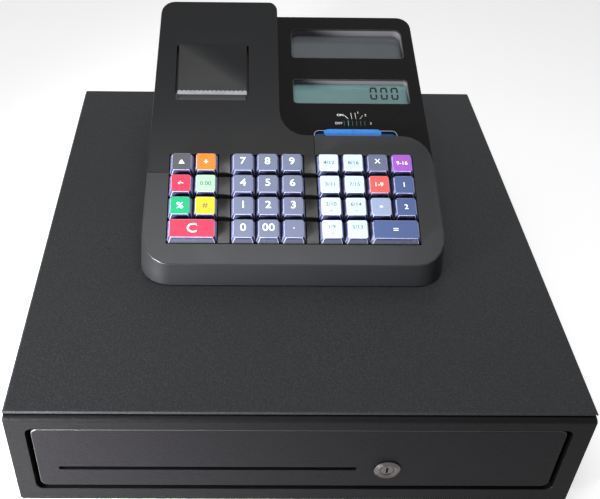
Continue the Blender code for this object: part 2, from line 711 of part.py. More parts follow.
def wedge(name, span, mat, origin):
    """The envelope cut off along the deck's plane, its upper edge rounded."""
    made = envelope(name, 0, span, mat, origin)
    bm = bmesh.new()
    bm.from_mesh(made.data)
    normal = Vector((0, -math.sin(WEDGE_TILT), math.cos(WEDGE_TILT)))
    point = Vector((0, DECK_Y, CASE_FRONT_HEIGHT)) - Vector(origin)
    everything = bm.verts[:] + bm.edges[:] + bm.faces[:]
    sliced = bmesh.ops.bisect_plane(bm, geom=everything, plane_co=point, plane_no=normal, clear_outer=True)
    rim = [item for item in sliced["geom_cut"] if isinstance(item, bmesh.types.BMEdge)]
    bmesh.ops.contextual_create(bm, geom=rim)
    bmesh.ops.bevel(bm, geom=rim, offset=EDGE_ROUNDING, segments=2, profile=0.5, affect="EDGES",
                    clamp_overlap=True)
    bmesh.ops.recalc_face_normals(bm, faces=bm.faces)
    bm.to_mesh(made.data)
    bm.free()
    return made


def tower_corner(name, inset):
    """What lies outside the rounded corner where the cover's rear wall meets its right side."""
    bend = TOWER_CORNER - inset
    sections = []
    for height in (0, SKY):
        rear = CASE_END - inset - DRAFT_SHARE * height
        side = TOWER_SIDE - inset
        outline = [(side + OVERRUN, rear - bend)] + arc((side - bend, rear - bend), bend, 0, 1)
        outline += [(side - bend, rear + OVERRUN), (side + OVERRUN, rear + OVERRUN)]
        sections.append((outline, height))
    return loft(name, sections, None, register)


def display_bay(name, inset, span, mat=None):
    """The lower area on the right that the fascia fills, behind the keyboard and beside the printer."""
    left = TOWER_SIDE + inset
    edge = STEP_Y + inset
    side = CASE_HALF - DRAFT_SHARE * STEP_HEIGHT
    bend = DECK_CORNER + inset
    points = [(left, CASE_END + OVERRUN)]
    points += arc((TOWER_SIDE + TOWER_FILLET, STEP_Y + TOWER_FILLET), TOWER_FILLET - inset, 2, 3)
    points += arc((side - DECK_CORNER, edge - bend), bend, 1, 0)
    points += [(side + OVERRUN, edge - bend), (side + OVERRUN, CASE_END + OVERRUN)]
    return prism(name, points, span, mat, register)


def above_wedge(name, level=0.0, length=both(FAR)):
    return box(name, both(FAR), length, (level, 3 * SKY), carrier=deck)


def cover_front(name, inset):
    """Everything in front of the printer cover: the deck before its left seam and the key opening."""
    seam = KEYS_FRONT + COVER_SEAM + inset
    return (box(name + "_seam", both(FAR), (-FAR, seam), both(FAR), carrier=deck),
            box(name + "_keys", (-KEYS_HALF - inset, FAR), (-FAR, KEYS_REAR + inset), both(FAR),
                carrier=deck))


def upper_case():
    """The register's outer shell: walls, keyboard deck and the step behind the keys."""
    case = wedge("upper_case", (CASE_LIFT, SKY), black_plastic(), (0, 0, 0))
    room = envelope("case_room", CASE_WALL, (-OVERRUN, SKY + OVERRUN))
    cut(room, above_wedge("deck_plate_blank", -CASE_WALL, (-OVERRUN, DECK_LENGTH)))
    step = display_bay("step_blank", -CASE_WALL, (STEP_HEIGHT - 4 * FASCIA_STEP, SKY))
    cut(step, display_bay("step_room", COVER_GAP, (0, SKY + OVERRUN)))
    cut(room, step)
    cut(case, room)

    ribs = (-GUIDE_LEVEL + FIT, -CASE_WALL / 2)
    join(case, box("key_rib_blank", both(KEYS_HALF + KEY_RIB), (KEYS_FRONT - KEY_RIB, KEYS_REAR + KEY_RIB),
                   ribs, carrier=deck))
    cut(case, box("key_opening", both(KEYS_HALF), (KEYS_FRONT, KEYS_REAR), both(OVERRUN), carrier=deck))

    cover = box("cover_room", (-FAR / 2, TOWER_SIDE + COVER_FOOT + COVER_GAP), both(FAR / 2),
                (-COVER_GAP, SKY), carrier=skirt)
    seam = KEYS_FRONT + COVER_SEAM - COVER_GAP
    cut(cover, box("case_seam", both(FAR), (-FAR, seam), both(FAR), carrier=deck),
        display_bay("cover_room_side", 2 * COVER_GAP, (0, 2 * SKY)))
    fascia_room = display_bay("fascia_room", 0, (0, SKY + OVERRUN))
    cut(fascia_room, box("fascia_under", both(FAR), both(FAR),
                         (-2 * SKY, -FASCIA_THICKNESS - FIT), carrier=display))
    cut(case, cover, fascia_room)
    cut(case, rod("inlet_hole", (INLET_X, 0, INLET_HEIGHT), INLET_RADIUS + FIT,
                  (CASE_END - OVERRUN, CASE_END + OVERRUN), "Y", carrier=register, sides=COARSE))

    for side, name in ((-1, "left"), (1, "right")):
        start = -PRINTER_X + side * (KNUCKLE_LENGTH / 2 + FIT)
        span = sorted((start, start + side * KNUCKLE_SIDE_LENGTH))
        join(case, rod("case_knuckle_" + name, (0, HINGE_Y, HINGE_HEIGHT), HINGE_RADIUS, span, "X",
                       carrier=register, sides=COARSE))
    swing = (-PRINTER_X - KNUCKLE_LENGTH / 2 - FIT, -PRINTER_X + KNUCKLE_LENGTH / 2 + FIT)
    cut(case, rod("cover_knuckle_room", (0, HINGE_Y, HINGE_HEIGHT), HINGE_RADIUS + COVER_GAP, swing, "X",
                  carrier=register, sides=COARSE))
    return case


def lower_case():
    """The pan that closes the case from below, with a rim inside the walls and four pads."""
    inset = CASE_WALL + COVER_GAP
    top = PAN_FLOOR + PAN_RIM_HEIGHT
    pan = envelope("lower_case", inset, (CASE_LIFT, top), black_plastic())
    cut(pan, envelope("pan_room", inset + CASE_WALL, (PAN_FLOOR, top + OVERRUN)))
    ends = (CASE_START + PAD_INSET, CASE_END - PAD_INSET)
    for x in both(CASE_HALF - PAD_INSET):
        for y in ends:
            join(pan, rod("pad_blank", (x, y, 0), PAD_RADIUS, (FIT, PAN_FLOOR - CASE_WALL / 2), "Z",
                          carrier=register, sides=COARSE))
    return pan


# The keyboard, drawn in the deck's frame
def column_x(column):
    gaps = (1 if column > 1.5 else 0) + (1 if column > 4.5 else 0)
    return -FIELD_WIDTH / 2 + (column + 1 / 2) * KEY_PITCH + gaps * BLANK_PITCH


def row_y(row):
    """Row 1 is the one furthest from the user."""
    return KEYS_FRONT + OPENING_MARGIN + (ROWS - row + 1 / 2) * KEY_PITCH


def key(name, column, row, colour, pitches=1):
    centre = (column_x(column), row_y(row), 0)
    extra = (pitches - 1) * KEY_PITCH

    def outline(size, corner):
        x = (centre[0] - (size + extra) / 2, centre[0] + (size + extra) / 2)
        y = (centre[1] - size / 2, centre[1] + size / 2)
        return rounded(x, y, [corner] * 4, 1)

    stem = rounded((centre[0] - STEM_SIZE / 2, centre[0] + STEM_SIZE / 2),
                   (centre[1] - STEM_SIZE / 2, centre[1] + STEM_SIZE / 2), [KEY_CORNER / 2] * 4, 1)
    base = KEY_PITCH - KEY_GAP
    sections = [(stem, -KEY_SKIRT - STEM_LENGTH), (stem, -KEY_SKIRT), (outline(base, KEY_CORNER), -KEY_SKIRT),
                (outline(base, KEY_CORNER), KEY_SHOULDER), (outline(KEY_TOP_SIZE, KEY_CORNER), KEY_TOP)]
    shade = "_".join(str(part) for part in colour)
    return loft("key_" + name, sections, material("key_" + shade, colour, 0.3), deck, centre)


GREY = (112, 116, 128)
RED = (222, 70, 92)
GREEN = (20, 158, 108)
ORANGE = (238, 130, 40)
PALE_GREEN = (176, 208, 178)
YELLOW = (232, 196, 60)
LAVENDER = (138, 148, 178)
PALE_BLUE = (206, 228, 248)
SLATE = (120, 130, 165)
CORAL = (206, 84, 84)
STEEL_BLUE = (150, 162, 186)
PURPLE = (150, 80, 176)
BLUE = (98, 128, 190)

# Keys by name, column and row
LEFT_KEYS = [("feed", 0, 1, GREY), ("refund", 0, 2, RED), ("discount", 0, 3, GREEN), ("add", 1, 1, ORANGE),
             ("price", 1, 2, PALE_GREEN), ("code", 1, 3, YELLOW)]
DIGITS = [("7", "8", "9"), ("4", "5", "6"), ("1", "2", "3"), ("0", "00", "point")]
RIGHT_KEYS = [("multiply", 7, 1, SLATE), ("clerk", 7, 2, CORAL), ("subtotal", 7, 3, STEEL_BLUE),
              ("shift", 8, 1, PURPLE), ("credit", 8, 2, BLUE), ("card", 8, 3, BLUE)]


def keys():
    for name, column, row, colour in LEFT_KEYS + RIGHT_KEYS:
        key(name, column, row, colour)
    key("clear", 1 / 2, ROWS, RED, 2)
    key("cash", 7 + 1 / 2, ROWS, BLUE, 2)
    for row, names in enumerate(DIGITS, 1):
        for i, name in enumerate(names):
            key(name, 2 + i, row, LAVENDER)
    for i in range(2 * ROWS):
        column = 5 + i // ROWS
        key(f"department_{i + 1}", column, ROWS - i % ROWS, PALE_BLUE)


def key_blanks(name, column):
    """Four filler blocks on one strip, in the half-width column to the right of the given column."""
    centre = column_x(column) + (KEY_PITCH + BLANK_PITCH) / 2
    half = (BLANK_PITCH - KEY_GAP) / 2
    ends = (row_y(ROWS) - (KEY_PITCH - KEY_GAP) / 2, row_y(1) + (KEY_PITCH - KEY_GAP) / 2)
    strip = box("key_blanks_" + name, (centre - half, centre + half), ends, (-GUIDE_LEVEL + FIT, BLANK_TOP),
                black_plastic(), deck)
    grooves = []
    for row in range(1, ROWS):
        middle = (row_y(row) + row_y(row + 1)) / 2
        reach = (KEY_PITCH - KEY_TOP_SIZE) / 2
        grooves.append(((centre - 2 * half, centre + 2 * half), (middle - reach, middle + reach),
                        (-KEY_SKIRT, BLANK_TOP + OVERRUN)))
    cut(strip, boxes("blank_grooves_" + name, grooves, carrier=deck))


def key_guide():
    """The plate under the keys, with a square hole for each stem."""
    edge = FIT + KEY_GAP / 4
    guide = box("key_guide", (-KEYS_HALF + edge, KEYS_HALF + CASE_WALL),
                (KEYS_FRONT - CASE_WALL, KEYS_REAR - edge), (-GUIDE_LEVEL - GUIDE_THICKNESS, -GUIDE_LEVEL),
                rubber(), deck)
    places = [(column, row) for column in (0, 1, 2, 3, 4, 5, 6, 7, 8) for row in (1, 2, 3, 4)
              if not (row == ROWS and column in (0, 1, 7, 8))]
    places += [(1 / 2, ROWS), (7 + 1 / 2, ROWS)]
    half = STEM_SIZE / 2 + FIT
    spans = []
    for column, row in places:
        x = column_x(column)
        y = row_y(row)
        spans.append(((x - half, x + half), (y - half, y + half), (-2 * GUIDE_LEVEL, 0)))
    cut(guide, boxes("stem_holes", spans, carrier=deck))


# The display fascia, drawn in its own sloping frame
def window(name, start, length, head_corner, grow=0.0, low=-OVERRUN, high=OVERRUN):
    x = (WINDOW_LEFT - grow, WINDOW_RIGHT + grow)
    y = (start - grow, start + length + grow)
    corners = (WINDOW_CORNER, head_corner, head_corner, WINDOW_CORNER)
    return prism(name, rounded(x, y, corners), (low, high), carrier=display)


def mode_shape(x, grow=0.0):
    y = MODE_SLOT_START + MODE_SLOT_HEIGHT / 2
    half = MODE_SLOT_HEIGHT / 2 + grow
    return rounded((x[0] - grow, x[1] + grow), (y - half, y + half), [half - FIT / 3] * 4, 4)


def fascia():
    """The gloss black panel with two sunk windows and the mode switch slot."""
    plate = display_bay("fascia", COVER_GAP, (0, SKY), gloss_black())
    keep(plate, envelope("fascia_outline", 0, (0, 2 * SKY)))
    cut(plate, box("fascia_top", both(FAR), both(FAR), (0, 2 * SKY), carrier=display),
        box("fascia_below", both(FAR), both(FAR), (-2 * SKY, -FASCIA_THICKNESS),
            carrier=display))
    middle = -FASCIA_THICKNESS / 2
    lower = (DISPLAY_START, DISPLAY_LENGTH, WINDOW_CORNER)
    upper = (UPPER_START, UPPER_LENGTH, UPPER_CORNER)
    join(plate, window("display_well", *lower, WELL_WALL, -DISPLAY_DEPTH, middle),
         window("upper_well", *upper, WELL_WALL, -UPPER_DEPTH, middle))
    cut(plate, window("display_window", *lower), window("upper_window", *upper),
        prism("mode_slot", mode_shape((MODE_LEFT, MODE_RIGHT)), both(OVERRUN), carrier=display))
    return plate


def screen(name, start, length, depth, mat):
    x = (WINDOW_LEFT - WELL_WALL, WINDOW_RIGHT + WELL_WALL)
    y = (start - WELL_WALL, start + length + WELL_WALL)
    return box(name, x, y, (-depth - FIT - SCREEN_THICKNESS, -depth - FIT), mat, display)


def mode_slider():
    """The blue mode switch: a paddle in the slot on a strip that keeps the slot closed."""
    centre = (PADDLE_X, MODE_SLOT_START + MODE_SLOT_HEIGHT / 2, 0)
    under = -FASCIA_THICKNESS - FIT
    outline = mode_shape((PADDLE_LEFT, PADDLE_RIGHT), -FIT)
    paddle = prism("mode_slider", outline, (under - MODE_STRIP_THICKNESS / 2, MODE_PADDLE_RISE),
                   slider_blue(), display, centre)
    low = MODE_SLOT_START + FIT
    ends = (MODE_LEFT - MODE_TRAVEL_RIGHT - MODE_STRIP_LAP, MODE_RIGHT + MODE_TRAVEL_LEFT + MODE_STRIP_LAP)
    strip = rounded(ends, (low, low + MODE_STRIP_HEIGHT), [MODE_STRIP_HEIGHT / 2 - FIT / 3] * 4, 4)
    join(paddle, prism("mode_strip", strip, (under - MODE_STRIP_THICKNESS, under), carrier=display))
    return paddle


# The printer cover and what it covers
def recess_outline():
    """Side view of the paper exit, up the slope and above it: lip, blade seat, slot, ramp."""
    start = DECK_LENGTH + RECESS_START - 2 * OPENING_MARGIN
    lip = start + LIP_LENGTH
    slot = lip + BLADE_SEAT
    ramp = slot + PAPER_SLOT
    seat = -LIP_DROP - BLADE_THICKNESS - FIT
    through = -RECESS_TUB - OVERRUN
    return [(start, 0), (lip, -LIP_DROP), (lip, seat), (slot, seat), (slot, through), (ramp, through),
            (ramp, -RAMP_DEPTH), (start + RECESS_LENGTH, 0), (start + RECESS_LENGTH, OVERRUN),
            (start, OVERRUN)]


def printer_cover(hinge):
    """The lift-up cover over the paper roll, with the sunk paper exit in its top."""
    cover = wedge("printer_cover", (0, SKY), black_plastic(), hinge)
    below = box("cover_below", both(FAR), both(FAR), (-2 * SKY, 0), carrier=skirt)
    cut(cover, below, *cover_front("cover", 0), tower_corner("cover_corner", 0),
        box("cover_right", (TOWER_SIDE + COVER_FOOT, FAR), both(FAR), both(FAR),
            carrier=register), display_bay("cover_side", 0, (-OVERRUN, 2 * SKY)))
    room = envelope("cover_room_inside", CASE_WALL, (-OVERRUN, SKY + OVERRUN))
    cut(room, above_wedge("cover_skin", -CASE_WALL), *cover_front("cover_room_inside", CASE_WALL),
        tower_corner("cover_corner_wall", CASE_WALL),
        box("cover_right_wall", (TOWER_SIDE + COVER_FOOT - CASE_WALL, FAR), both(FAR),
            both(FAR), carrier=register),
        display_bay("cover_side_wall", -CASE_WALL, (-2 * OVERRUN, 3 * SKY)))
    cut(cover, room)

    outline = recess_outline()
    half = RECESS_WIDTH / 2
    tub = half + SIDE_GROOVE + CASE_WALL
    ends = (outline[0][0] - CASE_WALL, outline[7][0] + CASE_WALL)
    join(cover, box("recess_tub", (-PRINTER_X - tub, -PRINTER_X + tub), ends, (-RECESS_TUB, -CASE_WALL / 2),
                    carrier=deck))
    cut(cover, prism("paper_exit", outline, (-PRINTER_X - half, -PRINTER_X + half), carrier=deck, axis="X"))
    run = (outline[2][0], outline[7][0] - CASE_WALL)
    grooves = [(sorted((-PRINTER_X + side * (half - FIT), -PRINTER_X + side * (half + SIDE_GROOVE))), run,
                (CASE_WALL - RECESS_TUB, OVERRUN)) for side in (-1, 1)]
    cut(cover, boxes("side_grooves", grooves, carrier=deck))

    span = (-PRINTER_X - KNUCKLE_LENGTH / 2, -PRINTER_X + KNUCKLE_LENGTH / 2)
    join(cover, rod("cover_knuckle", (0, HINGE_Y, HINGE_HEIGHT), HINGE_RADIUS, span, "X", carrier=register,
                    sides=COARSE))
    for side, name in ((-1, "left"), (1, "right")):
        start = -PRINTER_X + side * KNUCKLE_LENGTH / 2
        room = sorted((start, start + side * (KNUCKLE_SIDE_LENGTH + 2 * COVER_GAP)))
        cut(cover, rod("case_knuckle_room_" + name, (0, HINGE_Y, HINGE_HEIGHT), HINGE_RADIUS + COVER_GAP,
                       room, "X", carrier=register, sides=COARSE))
    return cover


def tear_blade():
    """A thin steel strip on the lip of the paper exit, its teeth towards the ramp."""
    outline = recess_outline()
    front = outline[2][0] + FIT
    half = RECESS_WIDTH / 2 - FIT
    pitch = 2 * half / BLADE_TEETH
    points = [(-PRINTER_X - half, front), (-PRINTER_X + half, front)]
    for tooth in range(BLADE_TEETH):
        right = -PRINTER_X + half - tooth * pitch
        points += [(right, front + BLADE_LENGTH - TOOTH_DEPTH), (right - pitch / 2, front + BLADE_LENGTH)]
    points.append((-PRINTER_X - half, front + BLADE_LENGTH - TOOTH_DEPTH))
    level = outline[2][1] + FIT
    return prism("tear_blade", points, (level, level + BLADE_THICKNESS), chrome(), deck)


def paper_roll():
    half = ROLL_WIDTH / 2
    profile = [(ROLL_BORE, half), (ROLL_RADIUS, half), (ROLL_RADIUS, -half), (ROLL_BORE, -half)]
    return turned("paper_roll", profile, paper_white(), register, (-PRINTER_X, ROLL_Y, ROLL_HEIGHT),
                  (0, math.pi / 2, 0), closed=True)


def printer_block():
    """The printer's moulded body: a bucket for the paper roll behind, the platen's seat in front."""
    x = (-PRINTER_X - BLOCK_HALF, -PRINTER_X + BLOCK_HALF)
    low = PAN_FLOOR + BLOCK_BASE / 2
    split = BLOCK_FRONT + HEAD_DEPTH - BLOCK_WALL
    side = [(BLOCK_FRONT, low), (BLOCK_REAR, low), (BLOCK_REAR, BUCKET_HEIGHT), (split, BUCKET_HEIGHT),
            (split, HEAD_HEIGHT), (BLOCK_FRONT, HEAD_HEIGHT)]
    block = prism("printer_block", side, x, black_plastic(), register, axis="X")
    inside = (-PRINTER_X - ROLL_WIDTH / 2 - BUCKET_SIDE_GAP, -PRINTER_X + ROLL_WIDTH / 2 + BUCKET_SIDE_GAP)
    reach = ROLL_RADIUS + FIT
    cut(block, rod("roll_bucket", (0, ROLL_Y, ROLL_HEIGHT), reach, inside, "X", carrier=register),
        box("roll_mouth", inside, (ROLL_Y - reach, ROLL_Y + reach), (ROLL_HEIGHT, SKY), carrier=register),
        rod("platen_trough", (0, PLATEN_Y, PLATEN_HEIGHT), PLATEN_RADIUS + FIT, inside, "X", carrier=register,
            sides=COARSE),
        box("platen_mouth", inside, (PLATEN_Y - PLATEN_RADIUS - FIT, PLATEN_Y + PLATEN_RADIUS + FIT),
            (PLATEN_HEIGHT, SKY), carrier=register),
        rod("platen_bearing", (0, PLATEN_Y, PLATEN_HEIGHT), PLATEN_SHAFT + FIT,
            (x[0] - OVERRUN, x[1] + OVERRUN), "X", carrier=register, sides=COARSE))
    return block


def platen_roller():
    half = ROLL_WIDTH / 2
    end = BLOCK_HALF - BLOCK_WALL / 3
    profile = [(0, end), (PLATEN_SHAFT, end), (PLATEN_SHAFT, half), (PLATEN_RADIUS, half),
               (PLATEN_RADIUS, -half), (PLATEN_SHAFT, -half), (PLATEN_SHAFT, -end), (0, -end)]
    return turned("platen_roller", profile, rubber(), register, (-PRINTER_X, PLATEN_Y, PLATEN_HEIGHT),
                  (0, math.pi / 2, 0), COARSE)


def power_inlet():
    """The round socket for the mains adaptor in the rear wall; local Z points out of the wall."""
    profile = [(0, -2 * INLET_PIN), (INLET_PIN, -2 * INLET_PIN), (INLET_PIN, 2 * INLET_BORE - INLET_LENGTH),
               (INLET_BORE, 2 * INLET_BORE - INLET_LENGTH), (INLET_BORE, 0), (INLET_RADIUS, 0),
               (INLET_RADIUS, -INLET_LENGTH), (0, -INLET_LENGTH)]
    rear = CASE_END - DRAFT_SHARE * INLET_HEIGHT
    return turned("power_inlet", profile, black_plastic(), register, (INLET_X, rear, INLET_HEIGHT),
                  (-math.pi / 2, 0, 0), COARSE)


def shade():
    for item in parts.objects:
        if item.type == "MESH" and item.name in ("paper_roll", "platen_roller", "lock_bezel", "power_inlet"):
            item.data.shade_smooth()


clear_scene()
parts = new_collection("ticket_register")
cutters = new_collection("cutters")
register = frame("register_frame", None, (REGISTER_X, 0, CABINET_TOP))
deck = frame("deck_frame", register, (0, DECK_Y, CASE_FRONT_HEIGHT), WEDGE_TILT)
display = frame("display_frame", register, (0, STEP_Y, STEP_HEIGHT - FASCIA_STEP), FASCIA_TILT)
skirt = frame("skirt_frame", register, (0, HINGE_Y, HINGE_HEIGHT), SKIRT_TILT)

cabinet()
cabinet_lid()
drawer_front()
drawer_body()
till_tray()
for number in range(BAYS):
    note_clip(number)
lock_bezel()
lock_rotor()
upper_case()
lower_case()
keys()
key_blanks("left", 1)
key_blanks("right", 4)
key_guide()
fascia()
screen("upper_panel", UPPER_START, UPPER_LENGTH, UPPER_DEPTH, screen_grey())
screen("lcd_panel", DISPLAY_START, DISPLAY_LENGTH, DISPLAY_DEPTH, screen_green())
mode_slider()
printer_cover((-PRINTER_X, HINGE_Y, HINGE_HEIGHT))
tear_blade()
paper_roll()
printer_block()
platen_roller()
power_inlet()
shade()
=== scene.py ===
"""Looks of the ticket register: finishes for its solids, the printed key labels and legends, the display's
digits and marks, and a plain studio round it."""

import math

import bmesh
import bpy
from mathutils import Matrix, Vector


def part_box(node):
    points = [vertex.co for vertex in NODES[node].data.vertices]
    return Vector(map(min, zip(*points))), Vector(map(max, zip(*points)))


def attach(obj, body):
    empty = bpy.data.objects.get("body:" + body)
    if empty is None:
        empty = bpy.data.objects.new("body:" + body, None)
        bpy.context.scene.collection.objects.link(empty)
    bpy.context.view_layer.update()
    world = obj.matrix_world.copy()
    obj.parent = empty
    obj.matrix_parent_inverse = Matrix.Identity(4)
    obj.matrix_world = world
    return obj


bl_info = {
    "name": "Ticket register looks",
    "version": (1, 0, 0),
    "blender": (4, 5, 0),
    "location": "3D View > Sidebar > Ticket register",
    "description": "Dresses the ticket register's solids with finishes, labels, legends and a studio",
    "category": "Object",
}

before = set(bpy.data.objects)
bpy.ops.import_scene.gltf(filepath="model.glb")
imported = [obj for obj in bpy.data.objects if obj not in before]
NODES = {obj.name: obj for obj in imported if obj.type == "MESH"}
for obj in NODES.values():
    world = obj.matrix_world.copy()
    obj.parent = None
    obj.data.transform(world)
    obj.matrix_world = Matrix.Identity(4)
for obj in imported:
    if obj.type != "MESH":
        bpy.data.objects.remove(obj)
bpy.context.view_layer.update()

MM = 0.001
DECK_TILT = math.radians(24.2)
DISPLAY_TILT = math.radians(20)

# Keys: width of a cap's side slope, front edge of the first row, distance from row to row
KEY_SLOPE = 1.8 * MM
KEYS_FOOT = 18.2 * MM
KEY_PITCH = 20.2 * MM

# Characters: a capital's height as a share of the font's size, added weight, widening
CAP_SHARE = 0.73
CHARACTER_WEIGHT = 0.006
CHARACTER_BREADTH = 1.12

# Painted highlight on the lip of the printer cover: left, right, front and rear edge, and the width over
# which it fades out
LIP_HIGHLIGHT = [edge * MM for edge in (-98.9, -37.7, 154.0, 161.6)]
LIP_HIGHLIGHT_FADE = 0.5 * MM

# Grain of a spark-eroded mould, as the scale of its noise
GRAIN = 2100

# In degrees: edges sharper than SHARP stay sharp, faces flatter than FLATNESS are merged
SHARP = 48.0
FLATNESS = 1.0

# Windows: left, right, front and rear edge, front and rear corner in mm, colour of the painted highlight
# along the edge
WINDOWS = {"display": (4.6, 106.7, 39.8, 66.3, 3.0, 3.0, (84, 86, 90)),
           "upper": (4.6, 106.7, 91.8, 126.3, 3.0, 6.5, (62, 64, 67))}

# Left, right, front and rear edge in mm of the mode slot and of the pointer's groove on the switch, the
# groove drawn as painted shade
SLOT = (21.1, 91.7, 1.3, 9.7)
POINTER = (52.7, 55.7, 3.6, 8.2)

# Mode marks in mm: ticks and their ends, the first tick, the fan's strokes, and words as (characters,
# height, place across, place up)
TICKS = (47.4, 54.6, 58.2, 61.7, 65.3)
TICK_ENDS = (15.4, 20.4)
FIRST_TICK = ((51.0, 15.2), (51.0, 20.8))
FAN = (((51.1, 22.8), (48.0, 26.6)), ((54.3, 22.6), (53.8, 29.4)), ((57.9, 22.6), (57.4, 29.4)),
       ((61.3, 22.8), (64.0, 26.6)))
WORDS = (("OFF", 2.4, 42.6, 18.0), ("ON", 2.4, 44.4, 26.9), ("1", 2.2, 60.0, 29.6), ("2", 2.2, 66.4, 26.9),
         ("3", 2.4, 70.4, 18.0))

# Right edge and foot of the display's last digit
DIGITS_RIGHT = 99.4 * MM
DIGITS_FOOT = 49.7 * MM

# Middle of the front right foot
FOOT = Vector((173 * MM, -178 * MM, 0))

# Camera, solved from the photograph's straight edges: place, turn in degrees, shift and width of its sensor
CAMERA_PLACE = (-0.04967, -0.57392, 0.58405)
CAMERA_TURN = (52.63943, -0.74689, -0.28352)
CAMERA_SHIFT = (0.099083, -0.115833)
CAMERA_SENSOR = 36.0

# Lamps: place, target, width, depth, spread in degrees
LAMPS = {"overhead_lamp": ((-0.05, -0.2, 1.1), (-0.05, -0.2, 0), 0.7, 0.45, 180),
         "left_lamp": ((-0.66, -0.6, 0.12), (-0.27, -0.2, 0.06), 0.3, 0.16, 42)}

# Legends: label colour, ink, characters, their height and their place up the slope in mm
KEYS = {"feed": ("grey", "light_ink", "▲", 3.6, 0), "refund": ("red", "light_ink", "←", 4.0, 0),
        "discount": ("green", "light_ink", "%", 5.6, 0), "add": ("orange", "light_ink", "+", 4.8, 0),
        "price": ("pale_green", "dark_ink", "0.00", 3.6, 0), "code": ("yellow", "dark_ink", "#", 4.8, 0),
        "clear": ("red", "light_ink", "C", 8.2, 0.3), "point": ("lavender", "light_ink", "•", 2.4, 0.6),
        "multiply": ("slate", "light_ink", "X", 4.4, 1.6), "clerk": ("coral", "light_ink", "1-9", 3.8, 0),
        "subtotal": ("steel", "light_ink", "=", 3.2, 0), "shift": ("purple", "light_ink", "9-16", 3.4, 0),
        "credit": ("blue", "light_ink", "1", 4.4, 0), "card": ("blue", "light_ink", "2", 4.4, 0),
        "cash": ("blue", "light_ink", "=", 5.4, 0)}
for digit in ("7", "8", "9", "4", "5", "6", "1", "2", "3", "0", "00"):
    KEYS[digit] = ("lavender", "light_ink", digit, 6.6, 1.2)

# By node: label colour, ink, and marks as (characters, height, place up the slope)
LEGENDS = {"key_" + key: (label, pigment, [mark]) for key, (label, pigment, *mark) in KEYS.items()}
SIGNS = {1: ("+", 2.4, -3.9), 2: ("×", 2.4, -3.9), 5: ("−", 0.6, -3.9), 6: ("÷", 2.4, -3.9)}
for number in range(1, 9):
    marks = [(f"{number}/{number + 8}", 3.3, 2.0 if number in SIGNS else 0)]
    if number in SIGNS:
        marks.append(SIGNS[number])
    LEGENDS[f"key_department_{number}"] = ("pale_blue", "dark_ink", marks)


def tint(red, green, blue):
    """A colour as it is read off a screen, in the linear numbers that shaders use."""
    shares = [channel / 255 for channel in (red, green, blue)]
    return tuple(s / 12.92 if s <= 0.04045 else ((s + 0.055) / 1.055) ** 2.4 for s in shares)


def shade(colour, factor):
    """A colour made lighter or darker by a factor."""
    return tuple(min(1.0, channel * factor) for channel in colour)


def level(name, description, value, low=0.0, **settings):
    """A setting that is one number."""
    return bpy.props.FloatProperty(name=name, description=description, default=value, min=low, **settings)


def length(name, description, millimetres, low=0.0):
    """A length setting, given in millimetres."""
    return level(name, description, millimetres * MM, low * MM, unit="LENGTH", precision=5)


def colour(name, description, red, green, blue):
    """A colour setting, given as it is read off a screen."""
    return bpy.props.FloatVectorProperty(name=name, description=description, subtype="COLOR", size=3,
                                         min=0.0, max=1.0, default=tint(red, green, blue))


class RegisterSizes(bpy.types.PropertyGroup):
    """Sizes of the parts that dress the solids."""
    edge_ease: length("Edge rounding", "Rounding of the sheet steel's edges", 0.45)
    case_ease: length("Case edge rounding", "Rounding of the moulded case's edges", 0.25)
    cap_ease: length("Key edge rounding", "Rounding of the keys' edges", 0.22)
    label_margin: length("Label margin", "Clear rim of the key cap round its label", 0.3)
    label_thickness: length("Label thickness", "Height of a label over the key cap", 0.12, 0.02)
    ink_thickness: length("Ink thickness", "Height of a printed mark over its ground", 0.03, 0.005)
    rim_width: length("Window rim width", "Width of the bright edge round a window", 0.3, 0.1)
    slot_rim_width: length("Slot rim width", "Width of the bright edge round the mode slot", 0.5, 0.1)
    segment_width: length("Segment width", "Width of one bar of a display digit", 1.9, 0.2)
    digit_height: length("Digit height", "Height of a display digit", 14.0, 2)
    digit_width: length("Digit width", "Width of a display digit", 6.8, 1)
    digit_pitch: length("Digit pitch", "Distance from one display digit to the next", 9.5, 1)
    pad_height: length("Foot pad height", "Height of the rubber ring round each foot", 2.2, 0.2)
    pad_radius: length("Foot pad radius", "Outer radius of the rubber ring round each foot", 11.5, 9.5)
    foot_radius: length("Foot radius", "Radius of the pressed foot inside the rubber ring", 9.1, 2)


